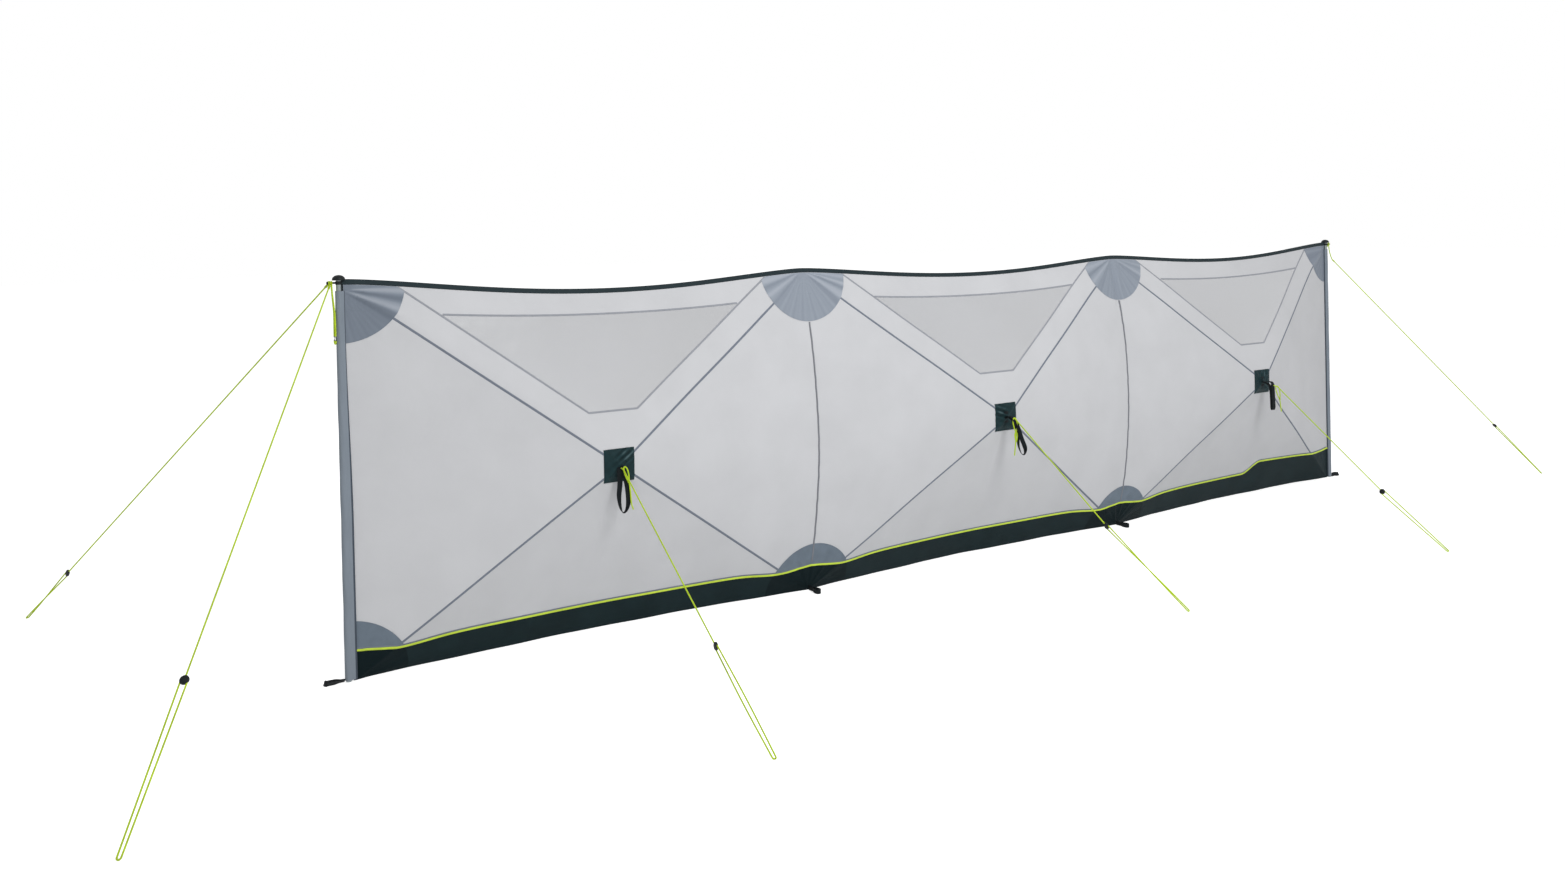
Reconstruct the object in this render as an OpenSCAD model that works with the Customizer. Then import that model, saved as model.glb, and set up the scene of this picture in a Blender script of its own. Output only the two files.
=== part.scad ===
// Beach windbreak of three pop-up bays, pegged and guyed to the ground.
// Each bay is a sheet of cloth that a hub and four sprung rods push forward.
// X runs along the wall, Y points to its back and Z up. The origin is under the left pole.

/* [Wall] */
// Distance between the uprights at the two sides of a bay
bay_w = 1950; // [1500:10:2400]
// Height of the cloth at the seams between the bays
wall_h = 1410; // [1200:10:1700]
// How much higher the cloth stands at the end poles
end_rise = 25; // [0:1:60]
// How far the seams stand in front of the end poles
seam_set = 50; // [0:1:100]
// How far a seam bows forward halfway up
seam_bow = 105; // [0:1:140]
// How far the top edge sags between two uprights
top_sag = 60; // [0:1:90]
// How far the lower edge bows back between two uprights
foot_bow = 55; // [0:1:80]
// How far the cloth stands in front of the end poles at each hub
hub_depth = [215, 280, 245]; // [180:1:320]
// How far a hub lies below half the height of the seams
hub_drop = 18; // [-60:1:80]

/* [Cloth] */
// Thickness of the panels
cloth_t = 3; // [1:0.1:5]
// Width of the binding along the top edge
binding_w = 20; // [12:1:30]
// How far the binding stands proud of the cloth on each side
binding_t = 1.5; // [0.5:0.1:3]
// Height of the mudwall
mud_h = 110; // [80:1:150]
// Height of the mudwall's taller stretch at the right end
mud_tall_h = 180; // [155:1:240]
// Length of the taller stretch, from its step to the right pole
mud_tall_l = 880; // [500:10:1200]
// Length over which the mudwall steps up
mud_step_l = 140; // [40:5:200]
// Width of the piping above the mudwall
piping_w = 9; // [5:0.5:14]
// How far the piping stands in front of the cloth
piping_t = 3; // [1:0.1:5]

/* [Patches] */
// Thickness of the sewn-on patches
patch_t = 2; // [1:0.1:4]
// Radius of the upper corner patches
head_patch_r = 230; // [160:1:280]
// Radius of the lower corner patches
foot_patch_r = 212; // [160:1:280]
// Width and height of the square patches at the hubs
hub_patch_w = 128; // [110:1:180]

/* [Windows] */
// Height of a window's side seams above the diagonal seams
window_set = 130; // [90:1:170]
// Height of a window's lower edge above its hub
window_rise = 205; // [180:1:260]
// Depth of the cloth band between the top edge and a window
window_drop = 100; // [60:1:140]

/* [Rods] */
// Diameter of the sprung rods
rod_d = 9; // [7:0.5:12]
// Wall of the sockets and pockets that hold the rods
rod_wall = 3; // [2:0.1:5]
// Radius of the hub discs
hub_r = 38; // [30:1:50]
// Thickness of the hub discs
hub_t = 24; // [22:1:30]
// Length of the rod sockets on a hub
socket_l = 46; // [30:1:70]
// Length of the rod pockets in the corners
pocket_l = 70; // [40:1:100]
// Distance from a corner of the cloth to its rod pocket
pocket_set = 60; // [50:1:90]

/* [Poles] */
// Diameter of the end poles
pole_d = 19; // [14:0.5:25]
// Thickness of the cloth sleeve around a pole
sleeve_t = 2; // [1:0.1:4]
// Distance from a pole's centre to the edge of the first panel
sleeve_w = 26; // [20:1:40]
// Height of the sleeve's lower end above the ground
sleeve_up = 8; // [2:1:30]
// Distance from the cloth's head down to the sleeve's upper end
sleeve_drop = 35; // [20:1:60]
// Length of pole that stands out above the cloth
pole_show = 10; // [4:1:40]
// Depth of a cap's grip on its pole
cap_grip = 22; // [18:0.5:26]
// Wall of a cap
cap_wall = 3; // [2:0.1:4]
// Diameter of the stud that carries the guys
stud_d = 7; // [5:0.5:8]
// Length of the stud outside the cap
stud_l = 18; // [17:0.5:30]
// Diameter of the stud's head
stud_head_d = 13; // [12:0.5:16]

/* [Straps] */
// Width of the webbing
webbing_w = 20; // [14:1:26]
// Thickness of the webbing
webbing_t = 2.5; // [1.5:0.1:4]
// Length of a pull strap's loop
pull_l = 165; // [120:1:220]
// Width of a pull strap's loop
pull_w = 44; // [30:1:56]
// Inner radius of the peg loops
peg_r = 10; // [7:0.5:12]
// Distance from the cloth or pole to the centre of a peg loop
peg_out = 70; // [40:1:100]

/* [Guys] */
// Diameter of the guy line
cord_d = 3.5; // [3:0.1:4]
// Distance between the doubled strands below a runner
strand_gap = 6; // [5:0.5:6.5]
// Length of a runner
runner_l = 28; // [18:1:40]
// Diameter of a runner
runner_d = 14; // [13:0.5:20]
// Peg of the left front guy: out from the pole, and forward
left_front_peg = [810, 985]; // [400:5:2000]
// Peg of the left back guy: out from the pole, and back
left_back_peg = [910, 1620]; // [400:5:2000]
// Peg of the right front guy: out from the pole, and forward
right_front_peg = [1015, 740]; // [400:5:2000]
// Peg of the right back guy: out from the pole, and back
right_back_peg = [910, 1620]; // [400:5:2000]
// Pegs of the hub guys: to the right of each hub
hub_peg_side = [-110, 62, -198]; // [-400:1:400]
// Pegs of the hub guys: forward from the line of the poles
hub_peg_front = [1460, 1255, 1380]; // [900:5:2200]
// Share of each end guy above its runner: left front, left back, right front, right back
end_runner = [0.76, 0.86, 0.79, 0.86]; // [0.3:0.01:0.9]
// Share of each hub guy above its runner
hub_runner = [0.67, 0.56, 0.68]; // [0.3:0.01:0.9]
// Length of the spare line that hangs from the left cap
spare_l = 205; // [100:5:400]

/* [Hidden] */
$fn = 48;

bays = 3;
last = bays - 1;
wall_l = bays * bay_w;
hub_h = wall_h / 2 - hub_drop;
pole_r = pole_d / 2;
// Clearance between a rod, pole or cord and the hole or post that it fits
fit_gap = 0.2;
// Clearance between a rigid piece and the cloth behind or before it
cloth_gap = 0.3;
// Straight steps that stand for a bowed seam or lower edge, and for a sagging edge
bow_steps = 8;
sag_steps = 12;
// Power of the arch that the top edge follows, which leaves the uprights flatter than a plain arch
sag_power = 1.5;
// Room beyond the wall on every side for the cutting outlines
spare = 20;
deepest = max(hub_depth);
cut_l = 2 * (deepest + foot_bow + seam_set + seam_bow + spare);
// Share of the way from a hub to the corners that the hub holds flat
flat_margin = 4;
flat_share = (hub_r + flat_margin) / min(hub_h, wall_h - hub_h, bay_w / 2);
socket_r = rod_d / 2 + rod_wall;
arm_r = rod_d / 2 + rod_wall / 2;
// Slope of the steepest cloth beside a rod, as the length of its normal for each unit of depth
// At a corner the lower edge sets off as if it bowed twice as far
cloth_slope = (deepest + 2 * foot_bow) / min(hub_h, wall_h - hub_h) / (1 - flat_share);
cloth_lean = norm([1, cloth_slope, deepest / bay_w * 2]);
rod_back = cloth_t + (socket_r + cloth_gap) * cloth_lean;
cap_r = pole_r + fit_gap + cap_wall;
pole_h = wall_h + end_rise + pole_show;
stud_z = pole_h - cap_grip + stud_d;
// A cord's ring is tied a little thicker than the cord, and rings sit side by side on a stud
ring_r = 0.65 * cord_d;
ring_pitch = 2 * ring_r + 0.4;
knot_r = 2 * cord_d;
// Points of the pull straps below their hubs
pull_drop = 12;
root_w = webbing_w + 4;
root_h = 26;

cloth_grey = "#c8c8cb";
window_grey = "#babbc0";
slate = "#7d8288";
dark = "#1e2a2c";
lime = "#c2d838";
sleeve_grey = "#78828c";
steel = "#b4b8bc";
black = "#17191b";

// Places of the uprights: 0 is the left pole, 1 and 2 are the seams, 3 is the right pole
function is_seam(i) = i > 0 && i < bays;
function edge_x(i) = i == 0 ? sleeve_w : i == bays ? wall_l - sleeve_w : i * bay_w;
function edge_y(i) = is_seam(i) ? -seam_set : 0;
function edge_z(i) = wall_h + (is_seam(i) ? 0 : end_rise);
function edge_bow(i) = is_seam(i) ? seam_bow : 0;
function edge_steps(i) = is_seam(i) ? bow_steps : 1;
function arch(t) = 4 * t * (1 - t);
function edge_point(i, t) = [edge_x(i), edge_y(i) - edge_bow(i) * arch(t), edge_z(i) * t];
function foot(i) = edge_point(i, 0);
function head(i) = edge_point(i, 1);
function hub(b) = [(b + 0.5) * bay_w, -hub_depth[b], hub_h];
function strap_front(b) = hub(b).y - patch_t - webbing_t;
function outline(p) = [p.x, p.z];
function unit(v) = v / norm(v);

// The edges of a bay's cloth, taken in turn round its rim
function left_rim(b) = [for (s = [edge_steps(b):-1:0]) edge_point(b, s / edge_steps(b))];
function bottom_rim(b) = [
    for (s = [0:bow_steps])
        let (t = s / bow_steps)
        foot(b) + t * (foot(b + 1) - foot(b)) + [0, foot_bow * arch(t), 0]
];
function right_rim(b) = [for (s = [0:edge_steps(b + 1)]) edge_point(b + 1, s / edge_steps(b + 1))];
function top_rim(b) = [head(b + 1), head(b)];
function whole_rim(b) = concat(left_rim(b), [for (s = [1:bow_steps - 1]) bottom_rim(b)[s]], right_rim(b));

// The point of the flat at a hub that lies on the way to a point of the rim
function flat_point(b, p) =
    let (way = flat_share * (p - hub(b)))
    [hub(b).x + way.x, hub(b).y, hub(b).z + way.z];

// The top edge of a bay seen from the front, lowered by a drop
function top_curve(b, drop) = [
    for (s = [0:sag_steps])
        let (t = s / sag_steps, p = head(b) + t * (head(b + 1) - head(b)))
        [p.x, p.z - top_sag * pow(arch(t), sag_power) - drop]
];

// A layer of one bay's cloth between two depths, counted from its front face
// It reaches from the hub to the given stretch of rim, or all round
module skin(b, stretch, all_round, front, back) {
    n = len(stretch);
    last_step = all_round ? n - 1 : n - 2;
    sheet = concat(stretch, [for (p = stretch) flat_point(b, p)], [hub(b)]);
    m = len(sheet);
    points = concat(
        [for (p = sheet) p + [0, front, 0]],
        [for (p = sheet) p + [0, back, 0]]
    );
    faces = [
        for (j = [0:last_step])
            let (k = (j + 1) % n)
            each [
                [k, j, n + j], [k, n + j, n + k], [n + k, n + j, 2 * n],
                [m + j, m + k, m + n + j], [m + k, m + n + k, m + n + j], [m + n + j, m + n + k, m + 2 * n],
                [j, k, m + k, m + j]
            ]
    ];
    open_sides = [
        [n, 0, m, m + n], [2 * n, n, m + n, m + 2 * n],
        [n - 1, 2 * n - 1, m + 2 * n - 1, m + n - 1], [2 * n - 1, 2 * n, m + 2 * n, m + 2 * n - 1]
    ];
    polyhedron(points, all_round ? faces : concat(faces, open_sides), convexity = 6);
}

// An outline seen from the front, cut through the whole depth of the wall
module cut() {
    rotate([90, 0, 0]) linear_extrude(cut_l, center = true) children();
}

// The part of a bay's layer that lies inside an outline
module piece(b, front, back) {
    intersection() {
        skin(b, whole_rim(b), true, front, back);
        cut() children();
    }
}

// One panel of a bay, less the outline of what takes its place
module panel(b, stretch) {
    color(cloth_grey) difference() {
        intersection() {
            skin(b, stretch, false, 0, cloth_t);
            cut() under_top(b, binding_w);
        }
        cut() children();
    }
}

module under_top(b, drop) {
    polygon(concat(
        [[edge_x(b + 1) + spare, -spare], [edge_x(b) - spare, -spare], outline(head(b)) - [spare, drop]],
        top_curve(b, drop),
        [outline(head(b + 1)) + [spare, -drop]]
    ));
}

module wedge(b, p, q) {
    polygon([outline(hub(b)), outline(p), outline(q)]);
}

// The mudwall's outline, with its top edge raised
module mud_outline(b, raise) {
    step_x = wall_l - mud_tall_l;
    x0 = edge_x(b) - spare;
    x1 = edge_x(b + 1) + spare;
    top = b < last ? [[x1, mud_h], [x0, mud_h]] : [
        [x1, mud_tall_h], [step_x + mud_step_l, mud_tall_h], [step_x, mud_h], [x0, mud_h]
    ];
    polygon(concat(
        [[x0, -spare], [x1, -spare]],
        [for (p = top) p + [0, raise]]
    ));
}

module window_outline(b) {
    intersection() {
        translate([0, window_set]) wedge(b, head(b), head(b + 1));
        under_top(b, window_drop);
        translate([edge_x(b), hub_h + window_rise]) square([bay_w, wall_h]);
    }
}

// A round bar from one point to another
module bar(p, q, r) {
    v = q - p;
    translate(p) rotate([0, acos(v.z / norm(v)), atan2(v.y, v.x)]) cylinder(h = norm(v), r = r);
}

// The right end is the left one mirrored
module at_end(right) {
    if (right) translate([wall_l, 0, 0]) mirror([1, 0, 0]) children();
    else children();
}

module top_panel(b) {
    panel(b, top_rim(b)) window_outline(b);
}

module left_panel(b) {
    panel(b, left_rim(b)) mud_outline(b, 0);
}

module right_panel(b) {
    panel(b, right_rim(b)) mud_outline(b, 0);
}

module bottom_panel(b) {
    panel(b, bottom_rim(b)) mud_outline(b, 0);
}

module window_pane(b) {
    color(window_grey, 0.6) piece(b, 0, cloth_t) window_outline(b);
}

module mudwall(b) {
    color(dark) piece(b, 0, cloth_t) mud_outline(b, 0);
}

module piping() {
    color(lime) for (b = [0:last]) piece(b, -piping_t, 0) difference() {
        mud_outline(b, piping_w);
        mud_outline(b, 0);
    }
}

module top_binding() {
    color(dark) for (b = [0:last]) piece(b, -binding_t, cloth_t + binding_t) difference() {
        under_top(b, 0);
        under_top(b, binding_w);
    }
}

// The quarter patches of one bay at upright i. The taller mudwall covers the lower corner at the right pole
module corner_patches(b, i) {
    piece(b, -patch_t, 0) intersection() {
        translate(outline(head(i))) circle(r = head_patch_r);
        under_top(b, binding_w);
    }
    if (i < bays) piece(b, -patch_t, 0) difference() {
        translate(outline(foot(i))) circle(r = foot_patch_r);
        mud_outline(b, piping_w);
    }
}

module upright_patches(i) {
    color(slate) for (b = [max(0, i - 1):min(last, i)]) corner_patches(b, i);
}

module hub_patches() {
    color(dark) for (b = [0:last])
        piece(b, -patch_t, 0) translate(outline(hub(b))) square(hub_patch_w, center = true);
}

// The corners of a bay that its rods reach
function corners(b) = [head(b), head(b + 1), foot(b), foot(b + 1)];

// Where a rod leaves its hub, and the way that it runs
function rod_start(b, c) = flat_point(b, c) + [0, rod_back, 0];
function rod_way(b, c) = unit(c - flat_point(b, c));
function pocket_end(b, c) = c + [0, rod_back, 0] - pocket_set * rod_way(b, c);

module hub_arm(b, c) {
    start = rod_start(b, c);
    way = start - hub(b);
    arm_l = norm([way.x, way.z]);
    translate(hub(b) + [0, cloth_t + rod_wall, 0])
        rotate([0, -atan2(way.z, way.x), 0])
            translate([hub_r / 2, 0, -arm_r]) cube([arm_l - hub_r / 2, hub_t - 2 * rod_wall, 2 * arm_r]);
    bar(start - rod_wall * rod_way(b, c), start + socket_l * rod_way(b, c), socket_r);
}

module hub_body(b) {
    difference() {
        union() {
            translate(hub(b) + [0, cloth_t, 0]) rotate([-90, 0, 0]) cylinder(h = hub_t, r = hub_r);
            for (c = corners(b)) hub_arm(b, c);
        }
        for (c = corners(b)) {
            way = rod_way(b, c);
            bar(rod_start(b, c) + rod_wall * way, rod_start(b, c) + 2 * socket_l * way, rod_d / 2 + fit_gap);
        }
    }
}

module hubs() {
    color(black) for (b = [0:last]) hub_body(b);
}

module rods(b) {
    color(slate) for (c = corners(b)) {
        way = rod_way(b, c);
        bar(
            rod_start(b, c) + (rod_wall + fit_gap) * way,
            pocket_end(b, c) - (rod_wall + fit_gap) * way,
            rod_d / 2
        );
    }
}

module rod_pockets() {
    color(dark) for (b = [0:last], c = corners(b)) {
        way = rod_way(b, c);
        end = pocket_end(b, c);
        difference() {
            bar(end - pocket_l * way, end, socket_r);
            bar(end - 2 * pocket_l * way, end - rod_wall * way, rod_d / 2 + fit_gap);
        }
    }
}

// A flat loop with round ends, hanging from its top
module loop_outline(w, l) {
    translate([0, -w / 2]) circle(d = w);
    translate([0, w / 2 - l]) circle(d = w);
    translate([-w / 2, w / 2 - l]) square([w, l - w]);
}

module pull_strap(b) {
    color(dark) translate([hub(b).x, strap_front(b), hub_h]) {
        translate([-root_w / 2, 0, -root_h]) cube([root_w, webbing_t, 2 * root_h]);
        rotate([90, 0, 0]) linear_extrude(webbing_w) translate([0, -pull_drop]) difference() {
            loop_outline(pull_w, pull_l);
            translate([0, -webbing_t]) loop_outline(pull_w - 2 * webbing_t, pull_l - 2 * webbing_t);
        }
    }
}

module pole(right) {
    color(steel) at_end(right) cylinder(h = pole_h, r = pole_r);
}

module sleeve(right) {
    color(sleeve_grey) at_end(right) translate([0, 0, sleeve_up]) difference() {
        sleeve_h = wall_h + end_rise - sleeve_drop - sleeve_up;
        union() {
            cylinder(h = sleeve_h, r = pole_r + fit_gap + sleeve_t);
            cube([sleeve_w, cloth_t, sleeve_h]);
        }
        translate([0, 0, -spare]) cylinder(h = sleeve_h + 2 * spare, r = pole_r + fit_gap);
    }
}

module cap(right) {
    stud_end = cap_r + stud_l;
    color(black) at_end(right) difference() {
        union() {
            translate([0, 0, pole_h - cap_grip]) cylinder(h = cap_grip + cap_wall, r = cap_r);
            bar([0, 0, stud_z], [-stud_end, 0, stud_z], stud_d / 2);
            bar([-stud_end, 0, stud_z], [-stud_end - cap_wall, 0, stud_z], stud_head_d / 2);
        }
        translate([0, 0, pole_h - 2 * cap_grip]) cylinder(h = 2 * cap_grip, r = pole_r + fit_gap);
    }
}

// A peg loop that reaches out along its own -Y from a seat at its origin
module peg_loop() {
    translate([0, -peg_out, 0]) difference() {
        union() {
            cylinder(h = webbing_w, r = peg_r + webbing_t);
            translate([-webbing_t, 0, 0]) cube([2 * webbing_t, peg_out, webbing_w]);
        }
        translate([0, 0, -spare]) cylinder(h = webbing_w + 2 * spare, r = peg_r);
    }
}

// At a pole the loop's stem ends against the sleeve
module pole_peg_loop(right) {
    seat_r = pole_r + fit_gap + sleeve_t + fit_gap;
    color(dark) at_end(right) difference() {
        rotate([0, 0, -90]) peg_loop();
        translate([0, 0, -spare]) cylinder(h = webbing_w + 2 * spare, r = seat_r);
    }
}

// At a seam the stem ends against the cloth, which leans forward above it
module seam_peg_loop(i) {
    front = edge_point(i, webbing_w / edge_z(i));
    color(dark) translate([front.x, front.y - cloth_gap, 0]) peg_loop();
}

// Two strands and the bend that joins them, running l along +Z
module doubled_line(l) {
    straight = l - strand_gap / 2;
    for (side = [-1, 1]) translate([0, side * strand_gap / 2, 0]) cylinder(h = straight, r = cord_d / 2);
    translate([0, 0, straight]) rotate([0, 90, 0]) rotate([0, 0, 90])
        rotate_extrude(angle = 180) translate([strand_gap / 2, 0]) circle(r = cord_d / 2);
}

module along(p, q) {
    v = q - p;
    translate(p) rotate([0, acos(v.z / norm(v)), atan2(v.y, v.x)]) children();
}

// A taut guy from its tie to its peg, with the runner's length left out of it
module guy(tie, peg, share) {
    l = norm(peg - tie);
    along(tie, peg) {
        cylinder(h = share * l - runner_l / 2, r = cord_d / 2);
        translate([0, 0, share * l + runner_l / 2]) doubled_line((1 - share) * l - runner_l / 2);
    }
}

module runner(tie, peg, share) {
    r = runner_d / 2;
    flat_r = strand_gap / 2 + cord_d / 2 + fit_gap;
    h = runner_l / 2;
    along(tie, peg) translate([0, 0, share * norm(peg - tie)]) rotate_extrude()
        polygon([[0, -h], [flat_r, -h], [r, -h / 2], [r, h / 2], [flat_r, h], [0, h]]);
}

// Pegs on the ground, and the middle of ring k on the left end's stud
function on_ground(x, y) = [x, y, cord_d];
function ring_middle(k) = [-cap_r - (k + 0.5) * ring_pitch - fit_gap, 0, stud_z];
function end_peg(out, front) = on_ground(-cap_r - out, front);
function end_tie(k, peg) =
    let (m = ring_middle(k), v = peg - m, way = unit([0, v.y, v.z]))
    m + (stud_d / 2 + fit_gap + ring_r) * way;

module ring(k) {
    translate(ring_middle(k)) rotate([0, 90, 0])
        rotate_extrude() translate([stud_d / 2 + fit_gap + ring_r, 0]) circle(r = ring_r);
}

// The front and back guys of one end, as seen at the left end
left_pegs = [end_peg(left_front_peg[0], -left_front_peg[1]), end_peg(left_back_peg[0], left_back_peg[1])];
right_pegs = [end_peg(right_front_peg[0], -right_front_peg[1]), end_peg(right_back_peg[0], right_back_peg[1])];

module end_guys(right) {
    pegs = right ? right_pegs : left_pegs;
    color(lime) at_end(right) for (k = [0, 1]) {
        ring(k);
        guy(end_tie(k, pegs[k]), pegs[k], end_runner[(right ? 2 : 0) + k]);
    }
}

function hub_tie(b) = [hub(b).x, strap_front(b) - knot_r - fit_gap, hub_h + knot_r];
function hub_peg(b) = on_ground(hub(b).x + hub_peg_side[b], -hub_peg_front[b]);

module hub_guys() {
    color(lime) for (b = [0:last]) {
        translate(hub_tie(b)) sphere(r = knot_r);
        guy(hub_tie(b), hub_peg(b), hub_runner[b]);
    }
}

module runners() {
    color(black) {
        for (right = [false, true], k = [0, 1]) at_end(right) {
            peg = right ? right_pegs[k] : left_pegs[k];
            runner(end_tie(k, peg), peg, end_runner[(right ? 2 : 0) + k]);
        }
        for (b = [0:last]) runner(hub_tie(b), hub_peg(b), hub_runner[b]);
    }
}

module spare_line() {
    tie = end_tie(2, ring_middle(2) - [0, 0, spare_l]);
    color(lime) {
        ring(2);
        translate(tie) mirror([0, 0, 1]) doubled_line(spare_l);
    }
}

top_panel(0);  // left_top_panel
left_panel(0);  // left_pole_side_panel
right_panel(0);  // left_seam_side_panel
bottom_panel(0);  // left_bottom_panel
top_panel(1);  // middle_top_panel
left_panel(1);  // middle_left_panel
right_panel(1);  // middle_right_panel
bottom_panel(1);  // middle_bottom_panel
top_panel(2);  // right_top_panel
left_panel(2);  // right_seam_side_panel
right_panel(2);  // right_pole_side_panel
bottom_panel(2);  // right_bottom_panel
window_pane(0);  // left_window
window_pane(1);  // middle_window
window_pane(2);  // right_window
mudwall(0);  // left_mudwall
mudwall(1);  // middle_mudwall
mudwall(2);  // right_mudwall
piping();
top_binding();
upright_patches(0);  // left_end_patches
upright_patches(1);  // first_seam_patches
upright_patches(2);  // second_seam_patches
upright_patches(3);  // right_end_patches
hub_patches();
hubs();
rods(0);  // left_rods
rods(1);  // middle_rods
rods(2);  // right_rods
rod_pockets();
pull_strap(0);  // left_pull_strap
pull_strap(1);  // middle_pull_strap
pull_strap(2);  // right_pull_strap
pole(false);  // left_pole
pole(true);  // right_pole
sleeve(false);  // left_sleeve
sleeve(true);  // right_sleeve
cap(false);  // left_cap
cap(true);  // right_cap
pole_peg_loop(false);  // left_peg_loop
seam_peg_loop(1);  // first_seam_peg_loop
seam_peg_loop(2);  // second_seam_peg_loop
pole_peg_loop(true);  // right_peg_loop
end_guys(false);  // left_end_guys
end_guys(true);  // right_end_guys
hub_guys();
runners();
spare_line();
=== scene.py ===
"""Looks of the beach windbreak: cloth, seams, straps and lines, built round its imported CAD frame."""

import math
from functools import partial

import bpy
import numpy as np
from mathutils import Matrix, Vector
from mathutils.geometry import delaunay_2d_cdt


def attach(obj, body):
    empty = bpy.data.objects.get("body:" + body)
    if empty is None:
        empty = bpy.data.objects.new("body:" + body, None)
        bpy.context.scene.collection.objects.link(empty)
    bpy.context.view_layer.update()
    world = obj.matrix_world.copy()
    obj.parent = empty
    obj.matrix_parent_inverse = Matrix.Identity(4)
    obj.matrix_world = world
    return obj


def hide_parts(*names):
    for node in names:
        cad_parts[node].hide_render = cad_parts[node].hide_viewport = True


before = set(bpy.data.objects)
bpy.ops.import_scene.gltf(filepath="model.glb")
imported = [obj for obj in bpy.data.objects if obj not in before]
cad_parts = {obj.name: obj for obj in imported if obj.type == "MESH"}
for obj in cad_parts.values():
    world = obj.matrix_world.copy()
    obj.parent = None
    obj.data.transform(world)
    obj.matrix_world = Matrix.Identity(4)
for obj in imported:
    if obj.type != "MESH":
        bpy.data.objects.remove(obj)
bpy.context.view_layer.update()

# Sizes of the CAD part in metres. Upright 0 is the left pole, 1 and 2 are seams, 3 is the right pole
BAYS = ("left", "middle", "right")
ENDS = ("left", "right")
WALL_L = 5.85
EDGE_X = (0.026, 1.95, 3.9, 5.824)
EDGE_Y = (0.0, -0.05, -0.05, 0.0)
EDGE_Z = (1.435, 1.41, 1.41, 1.435)
EDGE_BOW = (0.0, 0.105, 0.105, 0.0)
FOOT_BOW = 0.055
HUB_X = (0.975, 2.925, 4.875)
HUB_Y = (-0.215, -0.28, -0.245)
HUB_Z = 0.687
FLAT_SHARE = 0.042 / 0.687
BINDING_W = 0.02
PIPING_W = 0.009
HUB_PATCH_W = 0.128
WINDOW_SET = 0.13
WINDOW_RISE = 0.205
ROD_BACK = 0.0124
POCKET_L = 0.07
POCKET_SET = 0.06
POCKET_R = 0.0075
POLE_R = 0.0095
SLEEVE_TOP = 1.4
STUD_R = 0.0035
RING_X = (0.0303, 0.0352, 0.0245)
RING_R = 0.0059
WEBBING_W = 0.02
WEBBING_T = 0.0022
STRAP_Y = (-0.2195, -0.2845, -0.2495)
LEFT_PEGS = ((-0.8227, -0.985), (-0.9227, 1.62))
RIGHT_PEGS = ((6.8777, -0.74), (6.7727, 1.62))
END_RUNNERS = (0.753, 0.843, 0.778, 0.843)
HUB_PEGS = ((0.865, -1.46), (2.987, -1.255), (4.677, -1.38))
HUB_RUNNERS = (0.67, 0.56, 0.65)
PEG_Z = 0.0035

# Shapes that the photo shows and the CAD keeps plainer
TOP_SAG = (0.06, 0.052, 0.052)
SAG_POWER = 1.5
WINDOW_DROP = 0.11
WINDOW_SAG = 0.05
MUD_MIDDLE = 0.115
MUD_SLOPE = 0.0042
MUD_TALL = 0.186
MUD_TALL_SLOPE = -0.017
MUD_STEP = (4.97, 5.11)
MUD_DIP = (0.012, 0.016, 0.016, 0.004)
MUD_DIP_AT = 0.17
MUD_DIP_W = 0.12
STUD_Z = 1.4225
STUD_END = 0.0385
STUD_HEAD_R = 0.0065
CORD_D = 0.0054
RING_D = 0.0042
RUNNER_R = 0.0135
RUNNER_T = 0.0075
RUNNER_EDGE = 0.0012
RUNNER_TAPER = 0.86
RUNNER_RIM_R = 0.62 * RUNNER_R
RUNNER_RIM_D = 0.0016
STRAND_GAP = 0.0098
BEND_R = 0.006
LOOP_R = 0.0112
SPARE_R = 0.0112
SPARE_DROP = 0.2
# The doubled webbing that sews a strap down: heights along it, width and thickness
PLATE_Z = (-0.026, -0.012, 0, 0.012, 0.026)
PLATE_W = 0.024
PLATE_T = 0.0026
# The tab and its gusset beside a pole's head: distance from the pole's axis and width
TAB_LAYERS = ((0.0122, 0.0054), (0.0175, 0.006))
TAB_HEIGHTS = (1.386, 1.402, 1.418, 1.434)
# A sleeve's radius, the reach of its seam from the pole's axis, and its cloth's thickness
SLEEVE_R = 0.0131
SLEEVE_EDGE = 0.0196
SLEEVE_T = 0.0009
# How much wider the seams of the left and right sleeves are at the foot than at the head
FLANGES = (0.011, 0.0)
# Radius and height round the caps' domes and collars
CAP_DOME = (
    (0.0098, 1.4335), (0.0215, 1.4315), (0.0228, 1.433), (0.0224, 1.4375), (0.0195, 1.443),
    (0.0135, 1.4478), (0.006, 1.45), (0.0001, 1.4505),
)
CAP_COLLAR = ((0.0096, 1.416), (0.0112, 1.4165), (0.0112, 1.428), (0.0096, 1.4285))

# The cloth's own ends, the heights at which each bay's upper rod seams meet its uprights, and the round
# patches at the heads and feet of the uprights as middle, half width and half height
CLOTH_X = (0.018, 1.95, 3.9, 5.832)
RIDGE_Z = ((1.404, 1.385), (1.4, 1.369), (1.381, 1.43))
HEADS = ((0.004, 0.228, 0.23), (1.95, 0.217, 0.23), (3.9, 0.217, 0.23), (5.846, 0.238, 0.24))
FEET = ((0.004, 0.212, 0.212), (1.95, 0.212, 0.212), (3.9, 0.212, 0.212), (5.846, 0.212, 0.212))

# Directions seen from the front left: to the right, towards the viewer and up
RIGHT = np.array([0.836, -0.548, 0.0])
FRONT = np.array([-0.548, -0.836, 0.0])
UP = np.array([0.0, 0.0, 1.0])

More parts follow.
